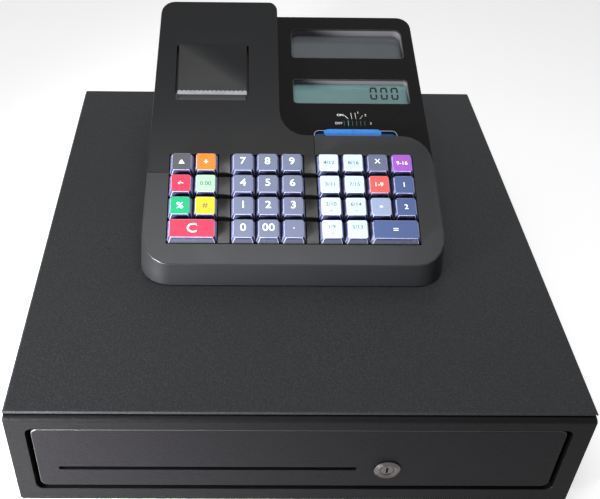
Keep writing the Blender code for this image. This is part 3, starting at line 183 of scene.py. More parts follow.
class RegisterColours(bpy.types.PropertyGroup):
    """Colours of the finishes."""
    # The lid's coat is painted lighter, as painted light on its lit top; the cabinet's and drawer front's
    # coats are painted darker, as painted shade on the fronts
    shaded_steel_coat: colour("Powder coat", "Painted steel of the drawer cabinet", 15, 15, 17)
    lit_lid_coat: colour("Lid coat", "Painted steel of the cabinet's lid", 48, 50, 52)
    shaded_panel_coat: colour("Panel coat", "Painted steel of the drawer's front panel", 17, 16, 19)
    case_plastic: colour("Case plastic", "Moulded plastic of the register's case", 27, 28, 30)
    cover_plastic: colour("Cover plastic", "Moulded plastic of the printer's cover", 8, 9, 11)
    gloss_black: colour("Gloss black", "Display panel", 10, 10, 11)
    # Painted highlight on the caps' rims, corners and right slopes; the front colour is the caps' navy, also
    # used as painted shade
    cap_rim_highlight: colour("Key cap rim", "Rim and corners of the key caps", 166, 170, 202)
    cap_side: colour("Key cap side", "Side slopes of the key caps", 84, 88, 122)
    cap_navy_and_shade: colour("Key cap front", "Front slopes and foot of the key caps", 36, 38, 60)
    light_ink: colour("Light ink", "White legends", 240, 243, 250)
    dark_ink: colour("Dark ink", "Dark legends", 62, 70, 84)
    switch_blue: colour("Mode switch", "Sliding mode switch", 30, 104, 176)
    screen_green: colour("Display", "Ground of the liquid crystal display", 105, 136, 137)
    screen_grey: colour("Upper window", "Unlit panel in the upper window", 84, 88, 92)
    grey: colour("Grey label", "Label of the paper feed key", 69, 70, 74)
    red: colour("Red label", "Labels of the clear and refund keys", 184, 44, 68)
    green: colour("Green label", "Label of the discount key", 16, 140, 94)
    orange: colour("Orange label", "Label of the key at the rear left", 206, 108, 36)
    pale_green: colour("Pale green label", "Label of the price key", 142, 180, 150)
    yellow: colour("Yellow label", "Label of the code key", 196, 168, 34)
    lavender: colour("Lavender label", "Labels of the number keys", 94, 101, 123)
    pale_blue: colour("Pale blue label", "Labels of the department keys", 176, 196, 218)
    slate: colour("Slate label", "Label of the multiply key", 86, 92, 116)
    coral: colour("Coral label", "Label of the clerk key", 196, 80, 74)
    steel: colour("Steel blue label", "Label of the subtotal key", 130, 143, 168)
    purple: colour("Purple label", "Label of the shift key", 138, 76, 168)
    blue: colour("Blue label", "Labels of the payment keys", 64, 80, 120)


class RegisterStudio(bpy.types.PropertyGroup):
    """The floor, lights and camera."""
    floor_size: level("Floor size", "Width of the floor", 14.0, 2.0, unit="LENGTH")
    floor_lift: level("Floor lift", "Light added to the floor for the camera", 0.35, max=1.0)
    sky_level: level("Sky level", "Brightness of the light from all round", 0.34)
    overhead_power: level("Overhead lamp", "Power of the large lamp above", 6.4, unit="POWER")
    side_power: level("Left lamp", "Power of the lamp in front on the left", 4.0, unit="POWER")
    lens: level("Lens", "Focal length of the camera in millimetres", 51.18, 10.0)


class Plane:
    """A sloping plane of the register: x across, s up the slope and n out of it."""

    def __init__(self, origin, tilt):
        self.origin = Vector(origin) * MM
        self.tilt = tilt
        self.matrix = Matrix.Translation(self.origin) @ Matrix.Rotation(tilt, 4, "X")
        self.across = Vector((1, 0, 0))
        self.up = Vector((0, math.cos(tilt), math.sin(tilt)))
        self.out = Vector((0, -math.sin(tilt), math.cos(tilt)))

    def spot(self, x, s, n):
        """The world's place of a spot given in this plane's own directions."""
        return self.matrix @ Vector((x, s, n))

    def read(self, point):
        """A point of the world in this plane's own directions."""
        return self.matrix.inverted() @ Vector(point)

    def span(self, item):
        """Lowest and highest corner of an object in this plane's own directions."""
        points = [self.read(vertex.co) for vertex in item.data.vertices]
        low = Vector([min(p[i] for p in points) for i in range(3)])
        high = Vector([max(p[i] for p in points) for i in range(3)])
        return low, high


DECK = Plane((1.0, -83.573, 126.3), DECK_TILT)
DISPLAY = Plane((1.0, 24.97, 170.331), DISPLAY_TILT)
LEVEL = Plane((0, 0, 0), 0.0)


class Amount:
    """A number that varies over a surface. Arithmetic on it adds Math nodes."""

    def __init__(self, net, socket):
        self.net = net
        self.socket = socket

    def __add__(self, other):
        return self.net.maths("ADD", self, other)

    def __sub__(self, other):
        return self.net.maths("SUBTRACT", self, other)

    def __rsub__(self, other):
        return self.net.maths("SUBTRACT", other, self)

    def __mul__(self, other):
        return self.net.maths("MULTIPLY", self, other)

    def __abs__(self):
        return self.net.maths("ABSOLUTE", self)

    __radd__ = __add__
    __rmul__ = __mul__


class Net:
    """A tree of shader nodes."""

    def __init__(self, tree):
        self.tree = tree

    def feed(self, socket, value):
        """Link or set an input."""
        if isinstance(value, Amount):
            self.tree.links.new(value.socket, socket)
        elif hasattr(value, "__len__") and len(value) == 3 and socket.type == "RGBA":
            socket.default_value = (*value, 1.0)
        else:
            socket.default_value = value

    def node(self, kind, settings=None, values=None, output=0):
        """Add a node with its settings and inputs, and return one of its outputs."""
        made = self.tree.nodes.new(kind)
        for key, value in (settings or {}).items():
            setattr(made, key, value)
        for key, value in (values or {}).items():
            self.feed(made.inputs[key], value)
        return Amount(self, made.outputs[output])

    def maths(self, operation, *values):
        return self.node("ShaderNodeMath", {"operation": operation}, dict(enumerate(values)))

    def background_rays(self):
        """1 for what is seen directly, in a polished surface or through a clear one."""
        kinds = [self.node("ShaderNodeLightPath", output=f"Is {kind} Ray")
                 for kind in ("Camera", "Glossy", "Transmission")]
        return self.maths("MAXIMUM", kinds[0], self.maths("MAXIMUM", kinds[1], kinds[2]))


class Finish(Net):
    """One procedural material on the solids' own coordinates."""

    def __init__(self, name, specular=0.5, **constants):
        self.material = bpy.data.materials.new(name)
        self.material.use_nodes = True
        super().__init__(self.material.node_tree)
        self.shader = self.tree.nodes["Principled BSDF"]
        self.shader.inputs["Specular IOR Level"].default_value = specular
        for key, value in constants.items():
            self.shader.inputs[key.replace("_", " ").title()].default_value = value
        self.place = self.node("ShaderNodeTexCoord", output="Object")

    def set(self, socket, value):
        self.feed(self.shader.inputs[socket], value)

    def noise(self, scale, detail=2.0, place=None):
        return self.node("ShaderNodeTexNoise", None, {"Vector": place or self.place, "Scale": scale,
                                                      "Detail": detail, "Roughness": 0.55}, "Fac")

    def cells(self, scale):
        return self.node("ShaderNodeTexVoronoi", {"feature": "SMOOTH_F1"},
                         {"Vector": self.place, "Scale": scale}, "Distance")

    def stretched(self, scale, factors, tilt=0.0):
        """Noise drawn out along one direction, for brushing and scratches."""
        place = self.node("ShaderNodeMapping", None, {"Vector": self.place, "Rotation": (-tilt, 0, 0),
                                                      "Scale": factors})
        return self.noise(scale, 3.0, place)

    def ramp(self, value, low, high):
        """0 below low, 1 above high, and a soft step between them."""
        return self.node("ShaderNodeMapRange", {"interpolation_type": "SMOOTHSTEP"},
                         {"Value": value, "From Min": low, "From Max": high})

    def mix(self, share, first, second):
        return self.node("ShaderNodeMix", {"data_type": "RGBA"}, {0: share, 6: first, 7: second}, 2)

    def axes(self, plane):
        """The distances across, up the slope and out of a plane."""
        turned = self.node("ShaderNodeMapping", {"vector_type": "TEXTURE"},
                           {"Vector": self.place, "Location": plane.origin, "Rotation": (plane.tilt, 0, 0)})
        parts = self.tree.nodes.new("ShaderNodeSeparateXYZ")
        self.feed(parts.inputs[0], turned)
        return [Amount(self, socket) for socket in parts.outputs]

    def facing(self, direction):
        """How far the surface faces a direction, from -1 to 1."""
        normal = self.node("ShaderNodeTexCoord", output="Normal")
        return self.node("ShaderNodeVectorMath", {"operation": "DOT_PRODUCT"}, {0: normal, 1: direction},
                         "Value")

    def relief(self, height, strength, distance):
        self.set("Normal", self.node("ShaderNodeBump", None, {"Strength": strength, "Distance": distance,
                                                              "Height": height}))

    def uneven(self, base):
        """A plastic's colour, a little uneven over the whole piece."""
        return self.mix(self.ramp(self.noise(7), 0.3, 0.7), shade(base, 0.92), shade(base, 1.1))

    def sparked(self, grain, tone, base):
        """Pale specks and fine relief of a spark-eroded mould."""
        self.set("Base Color", self.mix(self.ramp(grain, 0.6, 0.8) * 0.2, tone, shade(base, 1.9)))
        self.relief(grain, 0.22, 0.00012)


def powder_coat(name, base, specular):
    """Fine textured paint on steel."""
    made = Finish(name, specular=specular)
    grain = made.noise(1300, 2)
    peel = made.cells(620)
    cloud = made.noise(9, 3)
    tone = made.mix(made.ramp(cloud, 0.3, 0.72), shade(base, 0.88), shade(base, 1.12))
    fleck = made.ramp(grain, 0.56, 0.72)
    pit = made.ramp(peel, 0.1, 0.45)
    made.set("Base Color", made.mix(fleck * 0.45, made.mix(pit, tone, shade(base, 0.7)), shade(base, 3.4)))
    made.set("Roughness", 0.4 + grain * 0.16 + cloud * 0.06)
    made.relief(grain + peel * 0.6, 0.6, 0.0003)
    return made.material


def moulded(name, base, gloss=0.0, grain_scale=GRAIN, specular=0.22):
    """Fine sparked texture of injection-moulded plastic, handled smooth in places."""
    made = Finish(name, specular=specular)
    grain = made.noise(grain_scale, 1.5)
    touch = made.noise(26, 3)
    made.sparked(grain, made.uneven(base), base)
    made.set("Roughness", 0.31 - gloss + grain * 0.08 - made.ramp(touch, 0.52, 0.7) * 0.04)
    return made.material


def cover_finish(name, base):
    """Moulded plastic whose lip, in front of the paper's slot, is painted paler as a painted highlight."""
    made = Finish(name, specular=0.2)
    grain = made.noise(GRAIN, 1.5)
    x, s = made.axes(DECK)[:2]
    left, right, front, rear = LIP_HIGHLIGHT
    across = made.ramp(x, left, left + LIP_HIGHLIGHT_FADE) * (1 - made.ramp(x, right - LIP_HIGHLIGHT_FADE, right))
    along = made.ramp(s, front, front + LIP_HIGHLIGHT_FADE) * (1 - made.ramp(s, rear - LIP_HIGHLIGHT_FADE, rear))
    # The lip is painted a paler grey: painted highlight
    made.sparked(grain, made.mix(across * along, made.uneven(base), tint(50, 50, 52)), base)
    made.set("Roughness", 0.3 + grain * 0.08)
    return made.material


def gloss_panel(name, base):
    """Polished black plastic with the faintest haze, wipe marks and dust, its recess walls painted grey as
    painted reflection.
    """
    made = Finish(name, specular=0.11)
    haze = made.noise(18, 3)
    wipe = made.stretched(60, (0.25, 1.6, 1.0), DISPLAY_TILT)
    dust = made.noise(900, 1)
    depth = made.axes(DISPLAY)[2]
    # Recess walls painted a paler grey: painted reflection
    recess_wall_reflection = 1 - made.ramp(depth, -0.0022, -0.0004)
    tone = made.mix(made.ramp(dust, 0.7, 0.78) * 0.3, base, shade(base, 6))
    made.set("Base Color", made.mix(recess_wall_reflection, tone, tint(80, 79, 82)))
    made.set("Roughness", 0.12 + haze * 0.08 + made.ramp(wipe, 0.5, 0.75) * 0.07 + recess_wall_reflection * 0.2)
    made.relief(haze + dust * 0.05, 0.04, 0.0004)
    return made.material


def brushed(name, base, roughness, factors, scratch=0.14):
    """Bare metal with drawn-out scratches."""
    made = Finish(name, metallic=1.0)
    line = made.stretched(420, factors)
    smear = made.noise(60, 2)
    made.set("Base Color", made.mix(made.ramp(smear, 0.35, 0.7), shade(base, 0.82), base))
    made.set("Roughness", roughness + line * scratch + smear * 0.06)
    made.relief(line, 0.12, 0.00008)
    return made.material


def galvanised(name, base):
    """Zinc-coated sheet with its soft spangle."""
    made = Finish(name, metallic=0.85)
    spangle = made.cells(85)
    flow = made.noise(240, 3)
    made.set("Base Color", made.mix(made.ramp(spangle, 0.2, 0.8), shade(base, 0.72), base))
    made.set("Roughness", 0.34 + spangle * 0.16 + flow * 0.08)
    made.relief(flow + spangle, 0.1, 0.0001)
    return made.material


def cap_finish(name, rim, side, navy_and_shade):
    """Smoky clear key cap: painted highlight on its rim, corners and right slope, painted shade low on its
    slopes and where the front slope looks into the next row, and painted reflection on the first row's front
    slope."""
    made = Finish(name)
    turned = made.facing(DECK.across)
    along, height = made.axes(DECK)[1:]
    smoke = made.noise(160)
    # Painted shade low on the slopes, in the caps' navy, and a painted highlight on the right slope
    sides_with_painted_light = made.mix(made.ramp(height, 0.0006, 0.005), navy_and_shade, side)
    sides_with_painted_light = made.mix(made.ramp(turned, 0.3, 0.8), sides_with_painted_light, shade(rim, 1.3))
    # Painted reflection of the deck on the first row's front slope; painted shade on the other rows' front
    # slopes
    painted_front_reflection = made.mix(made.ramp(height, 0.001, 0.006), tint(52, 53, 57), tint(88, 90, 95))
    front = made.mix(made.ramp(along, KEYS_FOOT + 0.4 * MM, KEYS_FOOT + 2 * MM), painted_front_reflection, navy_and_shade)
    slope = made.mix(made.ramp(abs(turned), 0.7, 0.9), front, sides_with_painted_light)
    # Painted highlight on the flat rim of the top
    edge = made.ramp(made.facing(DECK.out), 0.75, 0.95) * made.ramp(height, 0.0, 0.003)
    tone = made.mix(edge, slope, rim)
    made.set("Base Color", made.mix(smoke * 0.25, tone, shade(side, 0.8)))
    made.set("Roughness", 0.2 + smoke * 0.12)
    made.relief(smoke, 0.05, 0.0003)
    return made.material


def blank_finish(name, dark, light):
    """Satin plastic of the filler blocks, with painted light: each paler towards its foot, the first row less
    so, as painted shade.
    """
    made = Finish(name, specular=0.15)
    grain = made.noise(GRAIN, 1.5)
    along = made.axes(DECK)[1] - KEYS_FOOT
    # Painted light paler towards each block's foot, and painted shade over the first row
    painted_light_ramp = made.ramp(made.maths("FRACT", along * (1 / KEY_PITCH)), 0.08, 0.85)
    first_row_painted_shade = made.ramp(along, KEY_PITCH * 0.4, KEY_PITCH)
    tone = made.mix(painted_light_ramp, made.mix(first_row_painted_shade, shade(light, 0.5), light), dark)
    made.set("Base Color", made.mix(grain * 0.2, tone, shade(dark, 0.8)))
    made.set("Roughness", 0.3 + grain * 0.1)
    made.relief(grain, 0.15, 0.0001)
    return made.material


def cap_edge_highlight(name, rim):
    """Painted highlight on the rounded edges of a clear key cap, with painted shade on its left."""
    made = Finish(name, specular=0.6)
    smoke = made.noise(300)
    # Painted shade on the edges that face left
    left = made.ramp(made.facing(DECK.across) * -1, 0.2, 0.7)
    made.set("Base Color", made.mix(smoke * 0.5, made.mix(left, rim, shade(rim, 0.4)), shade(rim, 0.6)))
    made.set("Roughness", 0.16 + smoke * 0.1)
    made.relief(smoke, 0.05, 0.0002)
    return made.material


def printed(name, base):
    """A printed card label under a clear lacquer: fibre in its colour, faint rubbing from fingers."""
    made = Finish(name, specular=0.14)
    fibre = made.stretched(900, (1.0, 0.35, 0.35), DECK_TILT)
    print_dots = made.noise(2600, 1)
    rub = made.noise(70, 3)
    tone = made.mix(made.ramp(fibre, 0.35, 0.75) * 0.35, base, shade(base, 0.86))
    made.set("Base Color", made.mix(made.ramp(print_dots, 0.58, 0.7) * 0.12, tone, shade(base, 1.25)))
    made.set("Roughness", 0.26 + rub * 0.16 + fibre * 0.05)
    made.relief(fibre + rub, 0.06, 0.0002)
    return made.material


def ink(name, base, roughness=0.4):
    """Screen-printed ink with a slightly uneven film."""
    made = Finish(name, specular=0.35)
    film = made.noise(1800, 2)
    made.set("Base Color", made.mix(made.ramp(film, 0.45, 0.8) * 0.25, base, shade(base, 0.8)))
    made.set("Roughness", roughness + film * 0.12)
    made.relief(film, 0.08, 0.0001)
    return made.material


def screen(name, base, node):
    """A display's glass over its ground, with faint rows behind it and a shadow along its rear edge."""
    made = Finish(name, specular=0.3)
    s = made.axes(DISPLAY)[1]
    cloud = made.noise(22)
    rows = made.maths("PINGPONG", s, 0.00035)
    rear = DISPLAY.span(NODES[node])[1].y
    fall = made.ramp(s, rear - 0.010, rear - 0.001)
    tone = made.mix(fall * 0.35, made.mix(made.ramp(cloud, 0.3, 0.7), shade(base, 0.95), shade(base, 1.05)),
                    shade(base, 0.55))
    made.set("Base Color", made.mix(made.ramp(rows, 0.0002, 0.0003) * 0.06, tone, shade(base, 0.7)))
    made.set("Roughness", 0.16 + cloud * 0.06)
    made.relief(cloud, 0.02, 0.0004)
    return made.material


def switch_plastic(name, base):
    """Glossy blue plastic with painted light: painted shade low down, a painted highlight high on its rounded
    faces, and paler where rubbed along its middle.
    """
    made = Finish(name)
    rub = made.noise(120)
    # Painted shade low on the switch, and a painted highlight high on its rounded faces
    painted_light_ramp = made.ramp(made.axes(DISPLAY)[2], 0.0004, 0.0028)
    rounded = made.mix(painted_light_ramp, shade(base, 0.45), shade(base, 1.3))
    flat = made.mix(rub * 0.3, made.mix(painted_light_ramp, shade(base, 0.4), base), shade(base, 1.25))
    made.set("Base Color", made.mix(made.ramp(made.facing(DISPLAY.out), 0.8, 0.97), rounded, flat))
    made.set("Roughness", 0.24 + rub * 0.14)
    made.relief(rub, 0.05, 0.0003)
    return made.material


def thermal_paper(name, base):
    """White paper wound in fine turns."""
    made = Finish(name, specular=0.3)
    low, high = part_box("paper_roll")
    y, z = made.axes(Plane((low + high) / 2 / MM, 0.0))[1:]
    turns = made.maths("PINGPONG", made.maths("SQRT", y * y + z * z), 0.00022)
    end = made.ramp(abs(made.facing(Vector((1, 0, 0)))), 0.8, 0.95)
    fibre = made.noise(700, 3)
    wound = made.mix(made.ramp(turns, 0.00004, 0.00016), shade(base, 0.74), base)
    made.set("Base Color", made.mix(end, made.mix(fibre * 0.2, base, shade(base, 0.93)), wound))
    made.set("Roughness", 0.68 + fibre * 0.14)
    made.relief(turns * end * 2500 + fibre * 0.3, 0.15, 0.0002)
    return made.material


def rubber(name, base, roughness=0.72):
    """Matt rubber with a dusty bloom."""
    made = Finish(name, specular=0.25)
    bloom = made.noise(180, 3)
    pores = made.noise(1700, 1)
    made.set("Base Color", made.mix(made.ramp(bloom, 0.4, 0.75) * 0.5, base, shade(base, 1.8)))
    made.set("Roughness", roughness + pores * 0.12)
    made.relief(pores, 0.2, 0.00015)
    return made.material


def clear_selection():
    """Back to object mode with nothing selected."""
    if bpy.context.object and bpy.context.object.mode != "OBJECT":
        bpy.ops.object.mode_set(mode="OBJECT")
    bpy.ops.object.select_all(action="DESELECT")


def choose(item):
    """Select one object only and make it active."""
    clear_selection()
    item.select_set(True)
    bpy.context.view_layer.objects.active = item


def settle(item, name, material):
    """Give a finished piece its name and finish, its place in its mesh and its origin at the world's."""
    choose(item)
    bpy.ops.object.transform_apply()
    item.name = name
    item.data.name = name
    item.data.materials.clear()
    item.data.materials.append(material)
    return item


def pick(item, kind, test):
    """Select the faces, edges or vertices for which a test on a bmesh element holds, in edit mode."""
    mesh = bmesh.from_edit_mesh(item.data)
    for group in (mesh.faces, mesh.edges, mesh.verts):
        for element in group:
            element.select = False
    mesh.select_mode = {kind}
    found = {"FACE": mesh.faces, "EDGE": mesh.edges, "VERT": mesh.verts}[kind]
    for element in found:
        element.select = bool(test(element))
    mesh.select_flush_mode()
    bmesh.update_edit_mesh(item.data)
    bpy.context.tool_settings.mesh_select_mode = (kind == "VERT", kind == "EDGE", kind == "FACE")


def plate(plane, x, s, n, corner, ease=0.0):
    """A thin plate: a cube cut to size, its upright corners rounded and its outer rim eased."""
    clear_selection()
    centre = plane.spot((x[0] + x[1]) / 2, (s[0] + s[1]) / 2, (n[0] + n[1]) / 2)
    bpy.ops.mesh.primitive_cube_add(size=1, location=centre, rotation=(plane.tilt, 0, 0),
                                    scale=(x[1] - x[0], s[1] - s[0], n[1] - n[0]))
    made = bpy.context.object
    bpy.ops.object.transform_apply()
    bpy.ops.object.mode_set(mode="EDIT")

    def upright(edge):
        return abs((edge.verts[0].co - edge.verts[1].co).normalized().dot(plane.out)) > 0.99

    def top_rim(edge):
        return any(f.normal.dot(plane.out) > 0.99 for f in edge.link_faces) and any(
            abs(f.normal.dot(plane.out)) < 0.5 for f in edge.link_faces)

    pick(made, "EDGE", upright)
    bpy.ops.mesh.bevel(offset=corner, segments=4, affect="EDGES")
    if ease:
        pick(made, "EDGE", top_rim)
        bpy.ops.mesh.bevel(offset=ease, segments=2, affect="EDGES")
    bpy.ops.object.mode_set(mode="OBJECT")
    return made


def thicken(rise):
    """Give the flat mesh in edit mode a thickness along a vector."""
    bpy.ops.mesh.select_all(action="SELECT")
    bpy.ops.mesh.extrude_region_move(TRANSFORM_OT_translate={"value": rise})
    bpy.ops.mesh.select_all(action="SELECT")
    bpy.ops.mesh.normals_make_consistent(inside=False)


def ring(plane, x, s, n, corners, width, steps=6):
    """A flat rim round an opening: a plane with front and rear corners rounded, inset, its middle removed,
    then raised."""
    clear_selection()
    centre = plane.spot((x[0] + x[1]) / 2, (s[0] + s[1]) / 2, n[0])
    bpy.ops.mesh.primitive_plane_add(size=1, location=centre, rotation=(plane.tilt, 0, 0))
    made = bpy.context.object
    made.scale = (x[1] - x[0], s[1] - s[0], 1)
    bpy.ops.object.transform_apply()
    bpy.ops.object.mode_set(mode="EDIT")
    middle = (s[0] + s[1]) / 2
    for rear, corner in enumerate(corners):
        pick(made, "VERT", lambda vertex: (plane.read(vertex.co).y > middle) == bool(rear))
        bpy.ops.mesh.bevel(offset=corner, segments=steps, affect="VERTICES")
    bpy.ops.mesh.select_all(action="SELECT")
    bpy.ops.mesh.inset(thickness=width, depth=0)
    bpy.ops.mesh.delete(type="ONLY_FACE")
    thicken(plane.out * (n[1] - n[0]))
    bpy.ops.object.mode_set(mode="OBJECT")
    return made


def copy_at(item, shift):
    """A copy with its own mesh, moved by a vector."""
    choose(item)
    bpy.ops.object.duplicate()
    made = bpy.context.object
    made.location = shift
    bpy.ops.object.transform_apply()
    return made


def joined(items):
    """Several objects as one, in the first one's place."""
    clear_selection()
    for item in items:
        item.select_set(True)
    bpy.context.view_layer.objects.active = items[0]
    if len(items) > 1:
        bpy.ops.object.join()
    return items[0]


def lettering(plane, body, height, x, s, n, thickness):
    """Raised characters of a given height, centred on a spot of a plane."""
    clear_selection()
    bpy.ops.object.text_add(location=plane.spot(x, s, n), rotation=(plane.tilt, 0, 0))
    made = bpy.context.object
    made.data.body = body
    made.data.size = height / CAP_SHARE
    made.data.offset = CHARACTER_WEIGHT * made.data.size
    made.data.extrude = thickness / 2
    made.data.resolution_u = 4
    bpy.ops.object.convert(target="MESH")
    made.scale.x = CHARACTER_BREADTH
    bpy.ops.object.transform_apply()
    low, high = plane.span(made)
    shift = plane.spot(x, s, n + thickness / 2) - plane.spot(*((low + high) / 2))
    made.data.transform(Matrix.Translation(shift))
    return made


def smooth_group():
    """Geometry nodes that shade a mesh smooth but for its sharp edges."""
    name = "smooth_but_sharp_edges"
    group = bpy.data.node_groups.get(name)
    if group is None:
        group = bpy.data.node_groups.new(name, "GeometryNodeTree")
        for way in ("INPUT", "OUTPUT"):
            group.interface.new_socket(name="Geometry", in_out=way, socket_type="NodeSocketGeometry")
        net = Net(group)
        angle = net.node("GeometryNodeInputMeshEdgeAngle")
        soft = net.node("FunctionNodeCompare", {"operation": "LESS_THAN"}, {0: angle, 1: math.radians(SHARP)})
        shape = net.node("NodeGroupInput")
        for domain, state in (("FACE", True), ("EDGE", soft)):
            shape = net.node("GeometryNodeSetShadeSmooth", {"domain": domain}, {0: shape, 2: state})
        net.feed(group.nodes.new("NodeGroupOutput").inputs[0], shape)
    return group


def eased(item, width, segments=2, limit=35.0, edge=False):
    """Live modifiers that merge a solid's triangles into whole faces, round its sharp edges and shade its
    curved faces smooth; the rounded edges may have their own finish."""
    weld = item.modifiers.new("merge", "WELD")
    weld.merge_threshold = 0.02 * MM
    flatten = item.modifiers.new("whole_faces", "DECIMATE")
    flatten.decimate_type = "DISSOLVE"
    flatten.angle_limit = math.radians(FLATNESS)
    if width:
        bevel = item.modifiers.new("eased_edges", "BEVEL")
        bevel.width = width
        bevel.segments = segments
        bevel.limit_method = "ANGLE"
        bevel.angle_limit = math.radians(limit)
        bevel.use_clamp_overlap = False
        bevel.offset_type = "ABSOLUTE"
        bevel.vmesh_method = "CUTOFF"
        if edge:
            bevel.material = 1
    item.modifiers.new("smooth_faces", "NODES").node_group = smooth_group()
    weights = item.modifiers.new("flat_faces_stay_flat", "WEIGHTED_NORMAL")
    weights.keep_sharp = True
    weights.weight = 100


def dress(node, *materials):
    """Put finishes in a solid's material slots."""
    item = NODES[node]
    item.data.materials.clear()
    for material in materials:
        item.data.materials.append(material)
    return item


class RegisterOperator(bpy.types.Operator):
    """What the register's operators share."""
    bl_options = {"REGISTER", "UNDO"}

    def execute(self, context):
        settings = context.scene.ticket_register
        self.make(settings.sizes, settings.colours, settings.studio)
        return {"FINISHED"}


class REGISTER_OT_cabinet(RegisterOperator):
    """Powder coat on the drawer cabinet, its lid and the drawer's front"""
    bl_idname = "register.cabinet"
    bl_label = "Cabinet"

    def make(self, sizes, colours, studio):
        # Paler coat on the rounded edges: wear, and a painted highlight along them
        edge_wear_and_highlight = powder_coat("powder_coat_edge", shade(colours.shaded_steel_coat, 3.2), 0.5)
        # Painted light and shade: a lighter coat on the lid, darker coats on the cabinet and the drawer front
        for node, base, specular in (("cabinet", colours.shaded_steel_coat, 0.08),
                                     ("cabinet_lid", colours.lit_lid_coat, 0.12),
                                     ("drawer_front", colours.shaded_panel_coat, 0.08)):
            coat = powder_coat("powder_coat_" + node, base, specular)
            eased(dress(node, coat, edge_wear_and_highlight), sizes.edge_ease, edge=True)


class REGISTER_OT_drawer(RegisterOperator):
    """Zinc-coated drawer, moulded till insert and sprung note clips"""
    bl_idname = "register.drawer"
    bl_label = "Drawer"

    def make(self, sizes, colours, studio):
        dress("drawer_body", galvanised("zinc_sheet", tint(168, 170, 172)))
        dress("till_tray", moulded("till_plastic", tint(30, 31, 33), grain_scale=1500))
        clip = brushed("clip_steel", tint(196, 198, 200), 0.2, (0.15, 1.0, 1.0))
        for number in range(1, 5):
            dress(f"note_clip_{number}", clip)


class REGISTER_OT_lock(RegisterOperator):
    """Chromed lock"""
    bl_idname = "register.lock"
    bl_label = "Lock"

    def make(self, sizes, colours, studio):
        chrome = brushed("lock_chrome", tint(96, 92, 91), 0.16, (1.0, 1.0, 0.3), 0.2)
        for node in ("lock_bezel", "lock_rotor"):
            dress(node, chrome)


class REGISTER_OT_case(RegisterOperator):
    """Moulded case, printer cover, filler blocks, key guide and power inlet"""
    bl_idname = "register.case"
    bl_label = "Case"

    def make(self, sizes, colours, studio):
        plastic = moulded("case_plastic", colours.case_plastic)
        darker = cover_finish("cover_plastic", colours.cover_plastic)
        eased(dress("upper_case", plastic), sizes.case_ease)
        eased(dress("printer_cover", darker), sizes.case_ease)
        # Filler blocks with painted light and painted shade
        blanks = blank_finish("blank_plastic", tint(24, 24, 25), tint(78, 77, 77))
        for node in ("key_blanks_left", "key_blanks_right"):
            eased(dress(node, blanks), sizes.cap_ease)
        dress("lower_case", plastic)
        dress("key_guide", rubber("guide_sheet", tint(22, 22, 24)))
        dress("power_inlet", moulded("inlet_plastic", tint(24, 24, 26), 0.1))


class REGISTER_OT_key_caps(RegisterOperator):
    """Smoky clear key caps, with painted highlights and painted shade"""
    bl_idname = "register.key_caps"
    bl_label = "Key caps"

    def make(self, sizes, colours, studio):
        cap = cap_finish("key_cap", colours.cap_rim_highlight, colours.cap_side, colours.cap_navy_and_shade)
        rim = cap_edge_highlight("key_cap_edge", shade(colours.cap_rim_highlight, 0.9))
        for node in LEGENDS:
            eased(dress(node, cap, rim), sizes.cap_ease, 1, 30.0, edge=True)


class REGISTER_OT_key_labels(RegisterOperator):
    """A printed label on each key cap"""
    bl_idname = "register.key_labels"
    bl_label = "Key labels"

    def make(self, sizes, colours, studio):
        cards = {}
        models = {}
        for node, (tone, _, _) in LEGENDS.items():
            if tone not in cards:
                cards[tone] = printed("label_" + tone, getattr(colours, tone))
            low, high = DECK.span(NODES[node])
            inset = KEY_SLOPE + sizes.label_margin
            width = round((high.x - low.x) / MM)
            spot = DECK.spot(low.x, low.y, 0)
            if width in models:
                first, start = models[width]
                label = copy_at(first, spot - start)
            else:
                label = plate(DECK, (low.x + inset, high.x - inset), (low.y + inset, high.y - inset),
                              (high.z - sizes.label_thickness, high.z + sizes.label_thickness), 0.7 * MM,
                              sizes.label_thickness * 0.7)
                models[width] = (label, spot)
            settle(label, "label_" + node[4:], cards[tone])
            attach(label, "button_" + node[4:])


class REGISTER_OT_key_legends(RegisterOperator):
    """Figures and signs on the key labels"""
    bl_idname = "register.key_legends"
    bl_label = "Key legends"

    def make(self, sizes, colours, studio):
        inks = {name: ink(name, getattr(colours, name)) for name in ("light_ink", "dark_ink")}
        for node, (_, pigment, marks) in LEGENDS.items():
            low, high = DECK.span(NODES[node])
            centre = (low + high) / 2
            top = high.z + sizes.label_thickness
            strokes = [lettering(DECK, body, height * MM, centre.x, centre.y + up * MM, top,
                                 sizes.ink_thickness) for body, height, up in marks]
            legend = settle(joined(strokes), "legend_" + node[4:], inks[pigment])
            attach(legend, "button_" + node[4:])


class REGISTER_OT_display(RegisterOperator):
    """Gloss panel, the two screens and the painted highlights along the edges of their windows"""
    bl_idname = "register.display"
    bl_label = "Display panel"

    def make(self, sizes, colours, studio):
        dress("fascia", gloss_panel("gloss_black", colours.gloss_black))
        dress("lcd_panel", screen("display_glass", colours.screen_green, "lcd_panel"))
        dress("upper_panel", screen("unlit_glass", colours.screen_grey, "upper_panel"))
        width = sizes.rim_width
        for name, (*measures, tone) in WINDOWS.items():
            left, right, start, end, front, rear = [measure * MM for measure in measures]
            # Each window's edge is a thin flat ring painted pale: a painted highlight
            rim = ring(DISPLAY, (left - width, right + width), (start - width, end + width),
                       (-0.1 * MM, 0.06 * MM), (front + width, rear + width), width)
            settle(rim, "rim_" + name, moulded("rim_finish_" + name, tint(*tone), 0.25, 900))
            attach(rim, "base")


